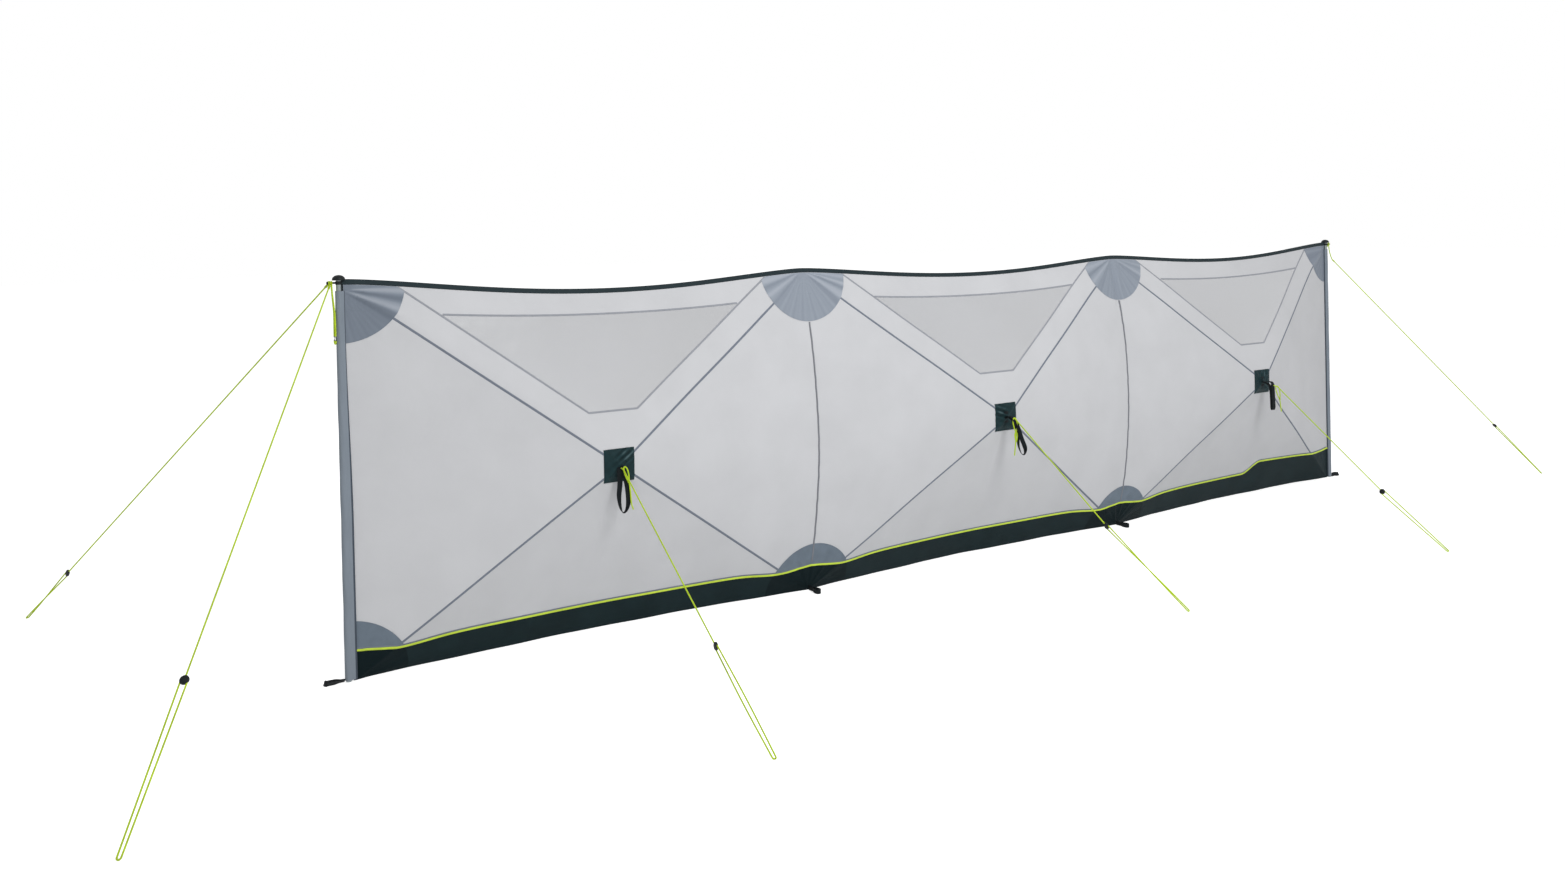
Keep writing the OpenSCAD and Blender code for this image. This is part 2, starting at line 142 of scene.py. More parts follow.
# How the cloth is cut into a mesh and how thick it shows
GRID = 0.02
FINE_GRID = 0.006
HUB_GRID = 0.004
LINE_STEP = 0.015
CLOTH_T = 0.0012
FILM_T = 0.0006
PATCH_T = 0.0009
SQUARE_T = 0.0018
SHARP_DEG = 42
TUCK = 0.008
# Where the folds of the heads start and how far they reach
FOLD_REACH = 0.225
FOLD_X = (0.0, 1.95, 3.9, 5.85)
FOLD_Z = 1.4
# Folds under the top edge, left and right of each head: angle and half width in degrees, and height
HEAD_FOLDS = (
    ((), ((4, 4, 0.8), (21, 5, 0.85))),
    (((11, 5, 0.65), (28.5, 5, 0.6)), ((10, 2.5, 0.5), (18, 2.5, 0.9), (32, 5, 0.7))),
    (((15, 4.5, 0.6), (35, 6, 0.45)), ((14, 2.5, 0.35), (26, 3.5, 0.6))),
    (((5, 5, 0.4), (25, 5, 0.4)), ()),
)
# How high the folds, swells, puckers, creases and waves of the cloth stand
HEAD_FOLD_H = 0.0065
BROAD_FOLD_H = 0.0006
FOOT_FOLD_H = 0.0011
SWELL_H = 0.0016
PUCKER_H = 0.0007
CREASE_H = 0.0075
PLEAT_H = 0.0032
CORNER_CREASE_H = 0.0026
HUB_POINT_H = 0.004
FOOT_WAVE_H = 0.003
# Swells of the cloth: waves along and up a metre in radians, phase and share of the height
SWELLS = ((7.1, 5.3, 0.4, 1.0), (-4.7, 9.2, 1.9, 0.8), (12.6, -6.1, 2.7, 0.5), (3.2, 16.4, 0.9, 0.45))
# Pleats in the dark squares: their middle from the hub, their direction in degrees and their pitch
PLEATS = (((0.03, 0.034), 35, 0.021), ((-0.034, 0.03), -18, 0.024), ((0.014, 0.042), 88, 0.022))
PLEAT_REACH = 0.038
SEAM_STEP = 0.006
SEAM_HALF = 0.0044
WINDOW_SEAM_HALF = 0.0038
SEAM_LIFT = 0.0011
UPRIGHT_SEAM_HALF = 0.0038
UPRIGHT_SEAM_LIFT = 0.0028
FOOT_SEAM_HALF = 0.003
FOOT_SEAM_LIFT = 0.0018
TRIM_STEP = 0.012
PIPING_AHEAD = 0.0008
PIPING_HALF_T = 0.0032
BINDING_BACK = 0.0006
BINDING_T = 0.0054
# A sewn tape's section: places across it as shares of its half width, and shares of its lift
TAPE_SECTION = ((-1, 0), (-0.75, 1), (0, 1.15), (0.75, 1), (1, 0))
THREAD_H = 0.0002
STITCH_H = 0.0003
FILM_ALPHA = 0.38

# Colours as sRGB, 0 to 255
PANEL_GREY = (197, 198, 201)
FILM_GREY = (116, 119, 127)
SEAM_GREY = (117, 124, 136)
UPRIGHT_GREY = (124, 126, 132)
WINDOW_SEAM_GREY = (150, 153, 160)
# Each head patch's painted shade, its own colour and its painted highlight
HEAD_PAINTED_GREYS = (
    ((102, 111, 123), (121, 130, 142), (180, 185, 194)),
    ((124, 132, 144), (145, 153, 164), (190, 194, 203)),
    ((122, 130, 142), (144, 152, 163), (188, 192, 202)),
    ((114, 122, 135), (128, 136, 148), (156, 162, 173)),
)
FOOT_GREY = (104, 116, 128)
SLEEVE_GREY = (125, 134, 144)
SLEEVE_SEAM_GREY = (70, 78, 88)
DARK_CLOTH = (24, 38, 41)
DARK_DOUBLE = (13, 26, 29)
BINDING_DARK = (34, 46, 50)
# The dark squares' painted shade, their own colour and their painted highlight
HUB_PAINTED_GREYS = ((10, 30, 32), (26, 50, 54), (98, 120, 124))
BLACK_WEB = (18, 24, 27)
BLACK_PLASTIC = (14, 20, 22)
LIME = (204, 228, 76)
LINE_LIME = (186, 213, 46)
STEEL = (132, 140, 142)
ROD_GREY = (92, 96, 102)
FLOOR_WHITE = (246, 246, 246)


def linear(colour):
    """A colour of 0 to 255 as the light that a shader takes, with its alpha."""
    share = np.array(colour) / 255
    light = np.where(share <= 0.04045, share / 12.92, ((share + 0.055) / 1.055) ** 2.4)
    return (*light.tolist(), 1.0)


def smooth(t):
    t = np.clip(t, 0, 1)
    return t * t * (3 - 2 * t)


def arch(t):
    return 4 * t * (1 - t)


def bell(d, width, power=2):
    """1 at no distance, and falling away over a width."""
    return np.exp(-((d / width) ** power))


def points_from(*values):
    """Rows of points from their values on each axis."""
    return np.stack(values, -1)


def unit(v):
    return v / np.linalg.norm(v, axis=-1, keepdims=True)


def step_lengths(path):
    return np.linalg.norm(np.diff(path, axis=0), axis=1)


def run_along(path):
    """How far along a path each of its points lies."""
    return np.concatenate([[0], np.cumsum(step_lengths(path))])


# The shape of the wall


def along_bay(b, x):
    return np.clip((x - EDGE_X[b]) / (EDGE_X[b + 1] - EDGE_X[b]), 0, 1)


def head_z(b, x):
    """Height of the straight line between the heads of a bay's two uprights."""
    return EDGE_Z[b] + along_bay(b, x) * (EDGE_Z[b + 1] - EDGE_Z[b])


def top_z(b, x):
    """Height of a bay's top edge."""
    return head_z(b, x) - TOP_SAG[b] * arch(along_bay(b, x)) ** SAG_POWER


def window_top_z(b, x):
    return head_z(b, x) - WINDOW_DROP - WINDOW_SAG * arch(along_bay(b, x))


def by_bay(x, find):
    """What a function of the bay gives, with each point's bay found from its x."""
    return np.select([x <= EDGE_X[1], x <= EDGE_X[2]], [find(0), find(1)], find(2))


def mud_z(x):
    """Height of the mudwall: it dips beside the uprights and steps up at the right end."""
    low = MUD_MIDDLE + MUD_SLOPE * (x - WALL_L / 2)
    high = MUD_TALL + MUD_TALL_SLOPE * (x - MUD_STEP[1])
    height = low + (high - low) * smooth((x - MUD_STEP[0]) / (MUD_STEP[1] - MUD_STEP[0]))
    for edge_x, dip in zip(EDGE_X, MUD_DIP):
        height = height - dip * bell(np.abs(x - edge_x) - MUD_DIP_AT, MUD_DIP_W)
    return height


def rim_shares(b, x, z, heads):
    """How far a point is from the hub to each side of the bay: left, right, bottom, top."""
    dx = x - HUB_X[b]
    dz = z - HUB_Z
    run = EDGE_X[b + 1] - EDGE_X[b]
    rise = heads[1] - heads[0]
    reach = (heads[0] - HUB_Z) * run - (EDGE_X[b] - HUB_X[b]) * rise
    left = dx / (EDGE_X[b] - HUB_X[b])
    right = dx / (EDGE_X[b + 1] - HUB_X[b])
    return np.stack([left, right, -dz / HUB_Z, (dz * run - dx * rise) / reach])


def edge_depth(i, z):
    return EDGE_Y[i] - EDGE_BOW[i] * arch(np.clip(z / EDGE_Z[i], 0, 1))


def bay_depth(b, x, z):
    """Depth of a bay's smooth front face at points seen from the front, as in the CAD."""
    shares = rim_shares(b, x, z, EDGE_Z[b : b + 2])
    side = shares.argmax(0)
    share = np.maximum(shares.max(0), 1e-9)
    rim_z = HUB_Z + (z - HUB_Z) / share
    t = along_bay(b, HUB_X[b] + (x - HUB_X[b]) / share)
    between = EDGE_Y[b] + t * (EDGE_Y[b + 1] - EDGE_Y[b])
    sides = [edge_depth(b, rim_z), edge_depth(b + 1, rim_z), between + FOOT_BOW * arch(t)]
    rim = np.select([side == 0, side == 1, side == 2], sides, between)
    way = np.clip((share - FLAT_SHARE) / (1 - FLAT_SHARE), 0, 1)
    return HUB_Y[b] + way * (rim - HUB_Y[b])


def head_turns(x, z, i):
    """How far points lie from the head of an upright, and at what angle under the top edge, in degrees."""
    out = np.abs(x - FOLD_X[i])
    down = FOLD_Z - z
    return np.hypot(out, down), np.degrees(np.arctan2(down, out))


def head_fan(x, z, i, lead):
    """Height of the folds at the head of an upright. Each is moved down by a share of its width."""
    angle = head_turns(x, z, i)[1]
    total = np.zeros(np.shape(x))
    for side, folds in enumerate(HEAD_FOLDS[i]):
        here = (x > FOLD_X[i]) == bool(side)
        for middle, width, height in folds:
            total = total + here * height * bell(angle - middle - lead * width, width)
    return total


def head_folds(x, z, i):
    """Folds that spread from the head of an upright, sharpest under the top edge."""
    r, angle = head_turns(x, z, i)
    swell = smooth(r / 0.09) * bell(r, FOLD_REACH, 6)
    swell = swell * smooth((wall_top_z(x) - z - BINDING_W) / 0.02)
    broad = 1 + np.cos(0.5 * angle + 2 * i)
    return -swell * (HEAD_FOLD_H * head_fan(x, z, i, 0.7) + BROAD_FOLD_H * broad)


def painted_head_light(x, z, i):
    """How light a head's patch is painted, 0 to 1: a painted highlight where a fold leans up, and painted
    shade just below it.
    """
    r, angle = head_turns(x, z, i)
    shine = 0.75 * head_fan(x, z, i, 0) - 0.3 * head_fan(x, z, i, 2)
    # Painted light and shade across the broad fold, and a second slow wave
    painted_wave_shading = 0.05 * np.sin(0.5 * angle + 2 * i) + 0.05 * np.sin(0.9 * angle + i)
    return np.clip(0.3 + (shine + painted_wave_shading) * smooth(r / 0.06), 0, 1)


def foot_folds(x, z, i):
    """Weaker folds that spread from the foot of an upright."""
    r = np.hypot(x - EDGE_X[i], z)
    angle = np.arctan2(z, x - EDGE_X[i])
    swell = smooth(r / 0.07) * bell(r, FOLD_REACH, 4)
    return FOOT_FOLD_H * swell * (np.cos((15 - i) * angle + 1.1 + 0.9 * i) + 0.5 * np.cos(26 * angle + 2 * i))


def soft_unevenness(x, z):
    """Wide shallow hollows and swells of cloth under tension."""
    total = 0
    for kx, kz, turn, size in SWELLS:
        total = total + size * np.sin(kx * x + kz * z + turn)
    return SWELL_H * total


def seam_gathers(x, z):
    """Small puckers along the seams between the bays, and the deep crease under the second seam's head."""
    total = 0
    for i in (1, 2):
        near = bell(np.abs(x - EDGE_X[i]), 0.05, 1)
        total = total + PUCKER_H * near * (np.sin(74 * z + 11 * i) + 0.7 * np.sin(121 * z + 5 * i))
    aside = x - EDGE_X[2]
    down = np.clip(EDGE_Z[2] - z, 0, None)
    crease = bell(aside + 0.012, 0.013) - 0.6 * bell(aside - 0.022, 0.016)
    return total + CREASE_H * crease * smooth((down - 0.015) / 0.06) * bell(down, 0.36, 4)


def hub_turns(b, x, z):
    """Where points lie in a dark square: from its hub, in its pleats' phase, and how near the pleats."""
    (side, rise), turn, pitch = PLEATS[b]
    turn = math.radians(turn)
    dx = x - HUB_X[b]
    dz = z - HUB_Z
    across = (dx - side) * math.sin(turn) - (dz - rise) * math.cos(turn)
    near = bell(np.hypot(dx - side, dz - rise), PLEAT_REACH)
    return dx, dz, 2 * math.pi * across / pitch, near


def hub_folds(x, z):
    """Creases to the corners of the dark squares, and the pleats that the pull straps draw in them."""
    total = 0
    for b in range(3):
        dx, dz, phase, near = hub_turns(b, x, z)
        r = np.hypot(dx, dz)
        inside = bell(np.maximum(np.abs(dx), np.abs(dz)), 0.07, 8)
        crease = bell(np.abs(dx) - np.abs(dz), 0.012) * smooth(r / 0.03)
        total = total + inside * (PLEAT_H * near * np.cos(phase) - CORNER_CREASE_H * crease)
        total = total - HUB_POINT_H * bell(r, 0.02)
    return total


def painted_hub_light(b, x, z):
    """How light a dark square is painted, 0 to 1: painted highlights on the pleats and beside the creases."""
    dx, dz, phase, near = hub_turns(b, x, z)
    pleats = 0.55 * near * np.clip(np.sin(phase), -0.6, 1)
    crease = 0.22 * bell(np.abs(dx) - np.abs(dz) - 0.008, 0.008) * smooth(np.hypot(dx, dz) / 0.05)
    # Painted light and shade of small crinkles in the square
    painted_wave_shading = 0.07 * np.sin(150 * x + 90 * z) + 0.06 * np.sin(210 * z - 130 * x + 2)
    return np.clip(0.38 + pleats + crease + painted_wave_shading, 0, 1)


def foot_waves(x, z):
    """Waves of the mudwall's lower edge, where nothing holds it."""
    low = np.clip(1 - z / 0.16, 0, 1) ** 1.5
    return FOOT_WAVE_H * low * (np.sin(9.3 * x + 0.6) + 0.5 * np.sin(23.7 * x + 2))


def relief(x, z):
    """How far the real cloth lies behind its smooth face."""
    total = soft_unevenness(x, z) + seam_gathers(x, z) + hub_folds(x, z) + foot_waves(x, z)
    for i in range(4):
        total = total + head_folds(x, z, i) + foot_folds(x, z, i)
    held = smooth((x - EDGE_X[0]) / 0.05) * smooth((EDGE_X[3] - x) / 0.05)
    return total * held


def cloth_y(x, z):
    """Depth of the real cloth's front face anywhere on the wall."""
    x = np.asarray(x, float)
    z = np.asarray(z, float)
    return by_bay(x, lambda b: bay_depth(b, x, z)) + relief(x, z)


# Lines seen from the front


def spread_points(points, step=LINE_STEP):
    """A line of points filled in so that no two lie further apart than the step."""
    points = np.asarray(points, float)
    filled = [points[:1]]
    for p, q in zip(points[:-1], points[1:]):
        count = max(1, math.ceil(np.linalg.norm(q - p) / step))
        t = np.arange(1, count + 1)[:, None] / count
        filled.append(p + t * (q - p))
    return np.concatenate(filled)


def window_sides(b, step=LINE_STEP):
    """The line of a window's side and lower seams, up to the top edge at both ends."""
    low_z = HUB_Z + WINDOW_RISE
    t = np.linspace(0, 1, 2001)
    found = []
    for k in (0, 1):
        x = HUB_X[b] + t * (EDGE_X[b + k] - HUB_X[b])
        z = HUB_Z + WINDOW_SET + t * (RIDGE_Z[b][k] - HUB_Z)
        low = np.searchsorted(z, low_z)
        high = np.argmax(z > top_z(b, x) - TUCK)
        found.append([(x[high], z[high]), (x[low], low_z)])
    return spread_points([*found[0], *found[1][::-1]], step)


def window_top(b):
    x = np.arange(EDGE_X[b], EDGE_X[b + 1], LINE_STEP)
    return points_from(x, window_top_z(b, x))


def in_vee(b, x, z):
    """Whether points lie between a window's side seams."""
    sides = [(x - HUB_X[b]) / (EDGE_X[b + k] - HUB_X[b]) * (RIDGE_Z[b][k] - HUB_Z) for k in (0, 1)]
    return z > np.maximum(HUB_Z + WINDOW_SET + np.maximum(*sides), HUB_Z + WINDOW_RISE)


def rod_ends(b):
    """Where a bay's rod seams meet its uprights, seen from the front."""
    return [(EDGE_X[b + k], z) for k in (0, 1) for z in (RIDGE_Z[b][k], 0.0)]


def bay_patches(b):
    """The round patches of a bay as middle, half width and half height: head and foot, left then right."""
    found = []
    for i in (b, b + 1):
        for (x, half_w, half_h), z in ((HEADS[i], EDGE_Z[i]), (FEET[i], 0.0)):
            found.append((x, z, half_w, half_h))
    return found


def patch_share(patch, x, z):
    """How far out in a patch points lie: 1 on its rim."""
    return np.hypot((x - patch[0]) / patch[2], (z - patch[1]) / patch[3])


def patch_rim(patch):
    turn = np.linspace(0, 2 * math.pi, 97)
    return points_from(patch[0] + patch[2] * np.cos(turn), patch[1] + patch[3] * np.sin(turn))


def bay_lines(b):
    """The lines that the mesh of a bay's cloth follows."""
    x = np.append(np.arange(CLOTH_X[b], CLOTH_X[b + 1], LINE_STEP), CLOTH_X[b + 1])
    half = HUB_PATCH_W / 2
    square = [(-half, -half), (half, -half), (half, half), (-half, half), (-half, -half)]
    hub = (HUB_X[b], HUB_Z)
    lines = [spread_points([(CLOTH_X[i], 0), (CLOTH_X[i], EDGE_Z[i])]) for i in (b, b + 1)]
    rows = (0 * x, top_z(b, x) - TUCK, mud_z(x), mud_z(x) + PIPING_W, top_z(b, x) - BINDING_W)
    lines += [points_from(x, z) for z in rows]
    lines += [window_sides(b), window_top(b)]
    lines += [spread_points([hub, corner]) for corner in rod_ends(b)]
    lines += [patch_rim(patch) for patch in bay_patches(b)]
    lines += [spread_points([(hub[0] + p, hub[1] + q) for p, q in square], FINE_GRID)]
    return lines


def grid_points(b, step):
    """Points of a triangular grid over a bay."""
    rows = np.arange(step / 2, 1.45, step * 0.866)
    columns = np.arange(CLOTH_X[b] + step / 2, CLOTH_X[b + 1], step)
    x, z = np.meshgrid(columns, rows)
    x = x + np.where(np.arange(len(rows)) % 2, step / 2, 0)[:, None]
    return points_from(x.ravel(), z.ravel())


def fold_zone(b, points):
    """How small the folds are where points lie: 0 on the open cloth, 1 in the corners, 2 near the hub."""
    zone = np.zeros(len(points), int)
    for patch in bay_patches(b):
        zone[patch_share(patch, *points.T) < 1.08] = 1
    zone[np.abs(points - (HUB_X[b], HUB_Z)).max(1) < HUB_PATCH_W * 0.6] = 2
    return zone


def far_from(points, others, gap):
    """The points with no other point nearer than the gap."""
    clear = np.ones(len(points), bool)
    for part in np.array_split(np.arange(len(points)), 40):
        far = np.abs(points[part, None] - others[None]).max(2)
        clear[part] = far.min(1) > gap
    return points[clear]


def bay_mesh(b):
    """Points and triangles over a bay seen from the front, with every line of it as edges."""
    lines = bay_lines(b)
    on_lines = np.concatenate(lines)
    parts = [on_lines]
    for zone, step in enumerate((GRID, FINE_GRID, HUB_GRID)):
        grid = grid_points(b, step)
        parts.append(far_from(grid[fold_zone(b, grid) == zone], on_lines, step * 0.45))
    edges = []
    start = 0
    for line in lines:
        edges += [(k, k + 1) for k in range(start, start + len(line) - 1)]
        start += len(line)
    made = delaunay_2d_cdt([Vector(p) for p in np.concatenate(parts)], edges, [], 0, 1e-6)
    points = np.array([tuple(p) for p in made[0]])
    triangles = np.array(made[2])
    a, p, q = (points[triangles[:, k]] for k in range(3))
    turn = (p[:, 0] - a[:, 0]) * (q[:, 1] - a[:, 1]) - (p[:, 1] - a[:, 1]) * (q[:, 0] - a[:, 0])
    triangles[turn < 0] = triangles[turn < 0][:, ::-1]
    return points, triangles[np.abs(turn) > 1e-10]


def bay_zones(b, points, triangles):
    """Which triangles of a bay belong to each piece of cloth."""
    x, z = points[triangles].mean(1).T
    side = rim_shares(b, x, z, RIDGE_Z[b]).argmax(0)
    inside = (x > CLOTH_X[b]) & (x < CLOTH_X[b + 1]) & (z > 0) & (z < top_z(b, x) - TUCK)
    mud = inside & (z < mud_z(x))
    vee = inside & in_vee(b, x, z)
    film = vee & (z < window_top_z(b, x))
    panel = inside & ~mud & ~vee
    bare = panel & (z > mud_z(x) + PIPING_W) & (z < top_z(b, x) - BINDING_W)
    zones = {"mud": mud, "film": film, "strip": vee & ~film, "band": panel & (side == 3)}
    zones.update(left=panel & (side == 0), right=panel & (side == 1), bottom=panel & (side == 2))
    for name, patch in zip(("head_a", "foot_a", "head_b", "foot_b"), bay_patches(b)):
        zones[name] = bare & (patch_share(patch, x, z) < 1)
    zones["square"] = np.maximum(np.abs(x - HUB_X[b]), np.abs(z - HUB_Z)) < HUB_PATCH_W / 2
    return {name: triangles[chosen] for name, chosen in zones.items()}


# Pieces


class Shape:
    """Corners and faces that grow into one mesh."""

    def __init__(self):
        self.corners = []
        self.faces = []
        self.paints = []
        self.places = []

    def add(self, corners, faces, paint=0, places=None):
        start = len(self.corners)
        corners = np.asarray(corners, float)
        self.corners += corners.tolist()
        self.faces += [tuple(int(k) + start for k in face) for face in faces]
        self.paints += list(paint) if np.ndim(paint) else [paint] * len(faces)
        self.places += corners[:, [0, 2]].tolist() if places is None else np.asarray(places).tolist()
        return self


def add_object(name, data):
    made = bpy.data.objects.new(name, data)
    bpy.context.scene.collection.objects.link(made)
    return made


def make_piece(name, shape, materials, nodes=()):
    """An object from a shape: it rides on the body, and stands for its CAD nodes."""
    mesh = bpy.data.meshes.new(name)
    mesh.from_pydata(shape.corners, [], shape.faces)
    for material in materials:
        mesh.materials.append(material)
    mesh.polygons.foreach_set("material_index", shape.paints)
    mesh.polygons.foreach_set("use_smooth", [True] * len(shape.faces))
    corner_of = np.zeros(len(mesh.loops), np.int32)
    mesh.loops.foreach_get("vertex_index", corner_of)
    mesh.uv_layers.new(name="place").data.foreach_set("uv", np.array(shape.places)[corner_of].ravel())
    mesh.set_sharp_from_angle(angle=math.radians(SHARP_DEG))
    mesh.update()
    piece = add_object(name, mesh)
    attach(piece, "root")
    if nodes:
        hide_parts(*nodes)
    return piece


def rim_faces(triangles, count):
    """Faces that join the front and back of a layer along its rim."""
    sides = np.concatenate([triangles[:, [0, 1]], triangles[:, [1, 2]], triangles[:, [2, 0]]])
    key = np.sort(sides, axis=1)
    _, first, uses = np.unique(key, axis=0, return_index=True, return_counts=True)
    rim = sides[first[uses == 1]]
    return [(q, p, p + count, q + count) for p, q in rim]


def layer(points, triangles, front, thickness, paint=None, painted_shading=None):
    """A layer of cloth over triangles seen from the front, and its area. Its painted shading, where given,
    says how light it is painted, with painted highlights and shade.
    """
    used, flat = np.unique(triangles, return_inverse=True)
    flat = flat.reshape(-1, 3)
    x, z = points[used].T
    y = cloth_y(x, z) + front
    corners = np.concatenate([points_from(x, y, z), points_from(x, y + thickness, z)])
    count = len(used)
    rim = rim_faces(flat, count)
    faces = [*flat.tolist(), *(flat[:, ::-1] + count).tolist(), *rim]
    paints = 0 if paint is None else [*paint, *paint, *([0] * len(rim))]
    a, p, q = (corners[flat[:, k]] for k in range(3))
    area = np.linalg.norm(np.cross(p - a, q - a), axis=1).sum() / 2
    places = None if painted_shading is None else np.repeat(np.tile(painted_shading(x, z), 2)[:, None], 2, 1)
    return Shape().add(corners, faces, paints, places), area


def profile_ring(count, half_a, half_b):
    turn = np.arange(count) / count * 2 * math.pi
    return points_from(half_a * np.cos(turn), half_b * np.sin(turn))


def flat_profile(width, thickness):
    """The rounded section of a tape or webbing."""
    a, b = width / 2, thickness / 2
    r = b * 0.8
    low = [(-a, -b + r), (-a + r, -b), (a - r, -b), (a, -b + r)]
    return np.array(low + [(-x, -y) for x, y in low])


def path_ways(path, closed):
    after = np.roll(path, -1, 0)
    before = np.roll(path, 1, 0)
    if not closed:
        after[-1] = path[-1]
        before[0] = path[0]
    return unit(after - before)


def side_vectors(ways, side):
    """Vectors square to a path, near one given direction or one for each point."""
    side = np.broadcast_to(np.asarray(side, float), ways.shape)
    return unit(side - (side * ways).sum(1, keepdims=True) * ways)


def quads(rows, count, around=True):
    """Faces of a grid of corners, row after row. Each row closes on itself if it runs around."""
    faces = []
    for j in range(rows - 1):
        for m in range(count if around else count - 1):
            n = (m + 1) % count
            faces.append((j * count + m, j * count + n, (j + 1) * count + n, (j + 1) * count + m))
    return faces


def sweep(shape, path, profile, side, closed=False, scale=None, paint=0):
    """Adds a section drawn along a path. The section's first axis lies along side."""
    path = np.asarray(path, float)
    ways = path_ways(path, closed)
    first = side_vectors(ways, side)
    second = np.cross(ways, first)
    rows, count = len(path), len(profile)
    total = rows * count
    sizes = np.ones((rows, 2)) if scale is None else np.asarray(scale, float)
    across = profile[None, :, 0, None] * first[:, None] * sizes[:, None, :1]
    up = profile[None, :, 1, None] * second[:, None] * sizes[:, None, 1:]
    corners = (path[:, None] + across + up).reshape(-1, 3)
    if closed:
        faces = [tuple(k % total for k in face) for face in quads(rows + 1, count)]
    else:
        faces = [*quads(rows, count), tuple(range(count))[::-1], tuple(range(total - count, total))]
    round_it = np.tile(np.arange(count) / count, rows)
    return shape.add(corners, faces, paint, points_from(np.repeat(run_along(path), count), round_it))


def rope(shape, path, d=CORD_D, closed=False):
    """Adds a round line of a diameter along a path."""
    path = np.asarray(path, float)
    if closed:
        centre = path.mean(0)
        side = np.cross(path[0] - centre, path[1] - centre)
    else:
        spread = path[-1] - path[0]
        side = (0, 0, 1) if abs(spread[2]) < 0.8 * np.linalg.norm(spread) else (1, 0, 0)
    return sweep(shape, path, profile_ring(8, d / 2, d / 2), side, closed)


def square_to(axis):
    """An axis and two more directions, all square to each other."""
    axis = Vector(axis).normalized()
    a = axis.orthogonal().normalized()
    return axis, a, axis.cross(a)


def ring(shape, centre, axis, r, d=CORD_D):
    """Adds a ring of line round an axis."""
    _, a, b = square_to(axis)
    turns = [k / 24 * 2 * math.pi for k in range(24)]
    path = [Vector(centre) + r * (math.cos(t) * a + math.sin(t) * b) for t in turns]
    return rope(shape, path, d, closed=True)


def wrap(shape, start, way, length, r, turns, d=CORD_D):
    """Adds a line wound round another, as in a tied knot."""
    way, a, b = square_to(way)
    path = []
    for t in np.linspace(0, 1, 12 * turns + 1).tolist():
        turn = 2 * math.pi * turns * t
        path.append(Vector(start) + length * t * way + r * (math.cos(turn) * a + math.sin(turn) * b))
    return sweep(shape, path, profile_ring(6, d / 2, d / 2), tuple(way))


def lathe(shape, centre, profile, count=40):
    """Adds a shape turned round an upright axis."""
    turn = np.arange(count) / count * 2 * math.pi
    rings = [points_from(r * np.cos(turn), r * np.sin(turn), np.full(count, z)) for r, z in profile]
    return shape.add(np.concatenate(rings) + np.array(centre), quads(len(profile), count))


# Materials


def put(socket, value):
    """Sets an input of a node, or links it where the value is the output of another node."""
    if isinstance(value, bpy.types.NodeSocket):
        socket.id_data.links.new(value, socket)
    else:
        socket.default_value = value


def add_node(tree, kind, inputs=(), **settings):
    """A new node with its settings, and with its inputs set or linked by name or number."""
    node = tree.nodes.new(kind)
    for key, value in settings.items():
        setattr(node, key, value)
    for key, value in dict(inputs).items():
        put(node.inputs[key], value)
    return node


def add_math(tree, operation, a, b, clamp=False):
    node = add_node(tree, "ShaderNodeMath", {0: a, 1: b}, operation=operation, use_clamp=clamp)
    return node.outputs["Value"]


def new_material(name, colour, roughness, gloss):
    material = bpy.data.materials.new(name)
    material.use_nodes = True
    shader = material.node_tree.nodes["Principled BSDF"]
    put(shader.inputs["Base Color"], linear(colour))
    put(shader.inputs["Roughness"], roughness)
    put(shader.inputs["Specular IOR Level"], gloss)
    return material, shader


def texture(shader, kind, scale, inputs=(), **settings):
    """The value of a texture that reads the place on the object, in metres."""
    place = add_node(shader.id_data, "ShaderNodeTexCoord").outputs["Object"]
    inputs = {"Scale": scale, "Vector": place, **dict(inputs)}
    return add_node(shader.id_data, kind, inputs, **settings).outputs["Fac"]


def noise(shader, scale, detail):
    return texture(shader, "ShaderNodeTexNoise", scale, {"Detail": detail})


def mesh_place(shader):
    """The place, or the painted highlights and shade, that is written in a piece's own mesh."""
    return add_node(shader.id_data, "ShaderNodeUVMap", uv_map="place").outputs["UV"]


def colour_by(shader, value, stops):
    """Colours a shader by a value from 0 to 1. Each stop is a value and its colour."""
    ramp = add_node(shader.id_data, "ShaderNodeValToRGB", {"Fac": value})
    marks = ramp.color_ramp.elements
    for mark, (at, colour) in zip(marks, (stops[0], stops[-1])):
        mark.position = at
        mark.color = colour
    for at, colour in stops[1:-1]:
        marks.new(at).color = colour
    put(shader.inputs["Base Color"], ramp.outputs["Color"])


def wear_and_sheen_colour(shader, colour, scale, spread):
    """Varies a colour by a share, in patches: wear and dirt on most finishes, and a painted sheen on the
    window film.
    """
    base = np.array(linear(colour))[:3]
    dark, light = (np.minimum(base * share, 1) for share in (1 - spread, 1 + spread))
    colour_by(shader, noise(shader, scale, 4.0), [(0.3, (*dark, 1)), (0.7, (*light, 1))])


def add_bump(shader, height, distance, strength=1.0):
    """Puts one more bump under those that a shader has."""
    normal = shader.inputs["Normal"]
    inputs = {"Distance": distance, "Strength": strength, "Height": height}
    if normal.is_linked:
        inputs["Normal"] = normal.links[0].from_socket
    put(normal, add_node(shader.id_data, "ShaderNodeBump", inputs).outputs["Normal"])


def weave(shader, scale):
    """The threads of a woven cloth, along and across."""
    along, across = (texture(shader, "ShaderNodeTexWave", scale, bands_direction=way) for way in "XZ")
    add_bump(shader, add_math(shader.id_data, "MULTIPLY", along, across), THREAD_H)


def cloth_material(name, colour, roughness, spread=0.03, crinkle=0.0004, threads=260, coarse=5, gloss=0.2):
    material, shader = new_material(name, colour, roughness, gloss)
    wear_and_sheen_colour(shader, colour, coarse, spread)
    weave(shader, threads)
    add_bump(shader, noise(shader, 45, 3.0), crinkle)
    return material


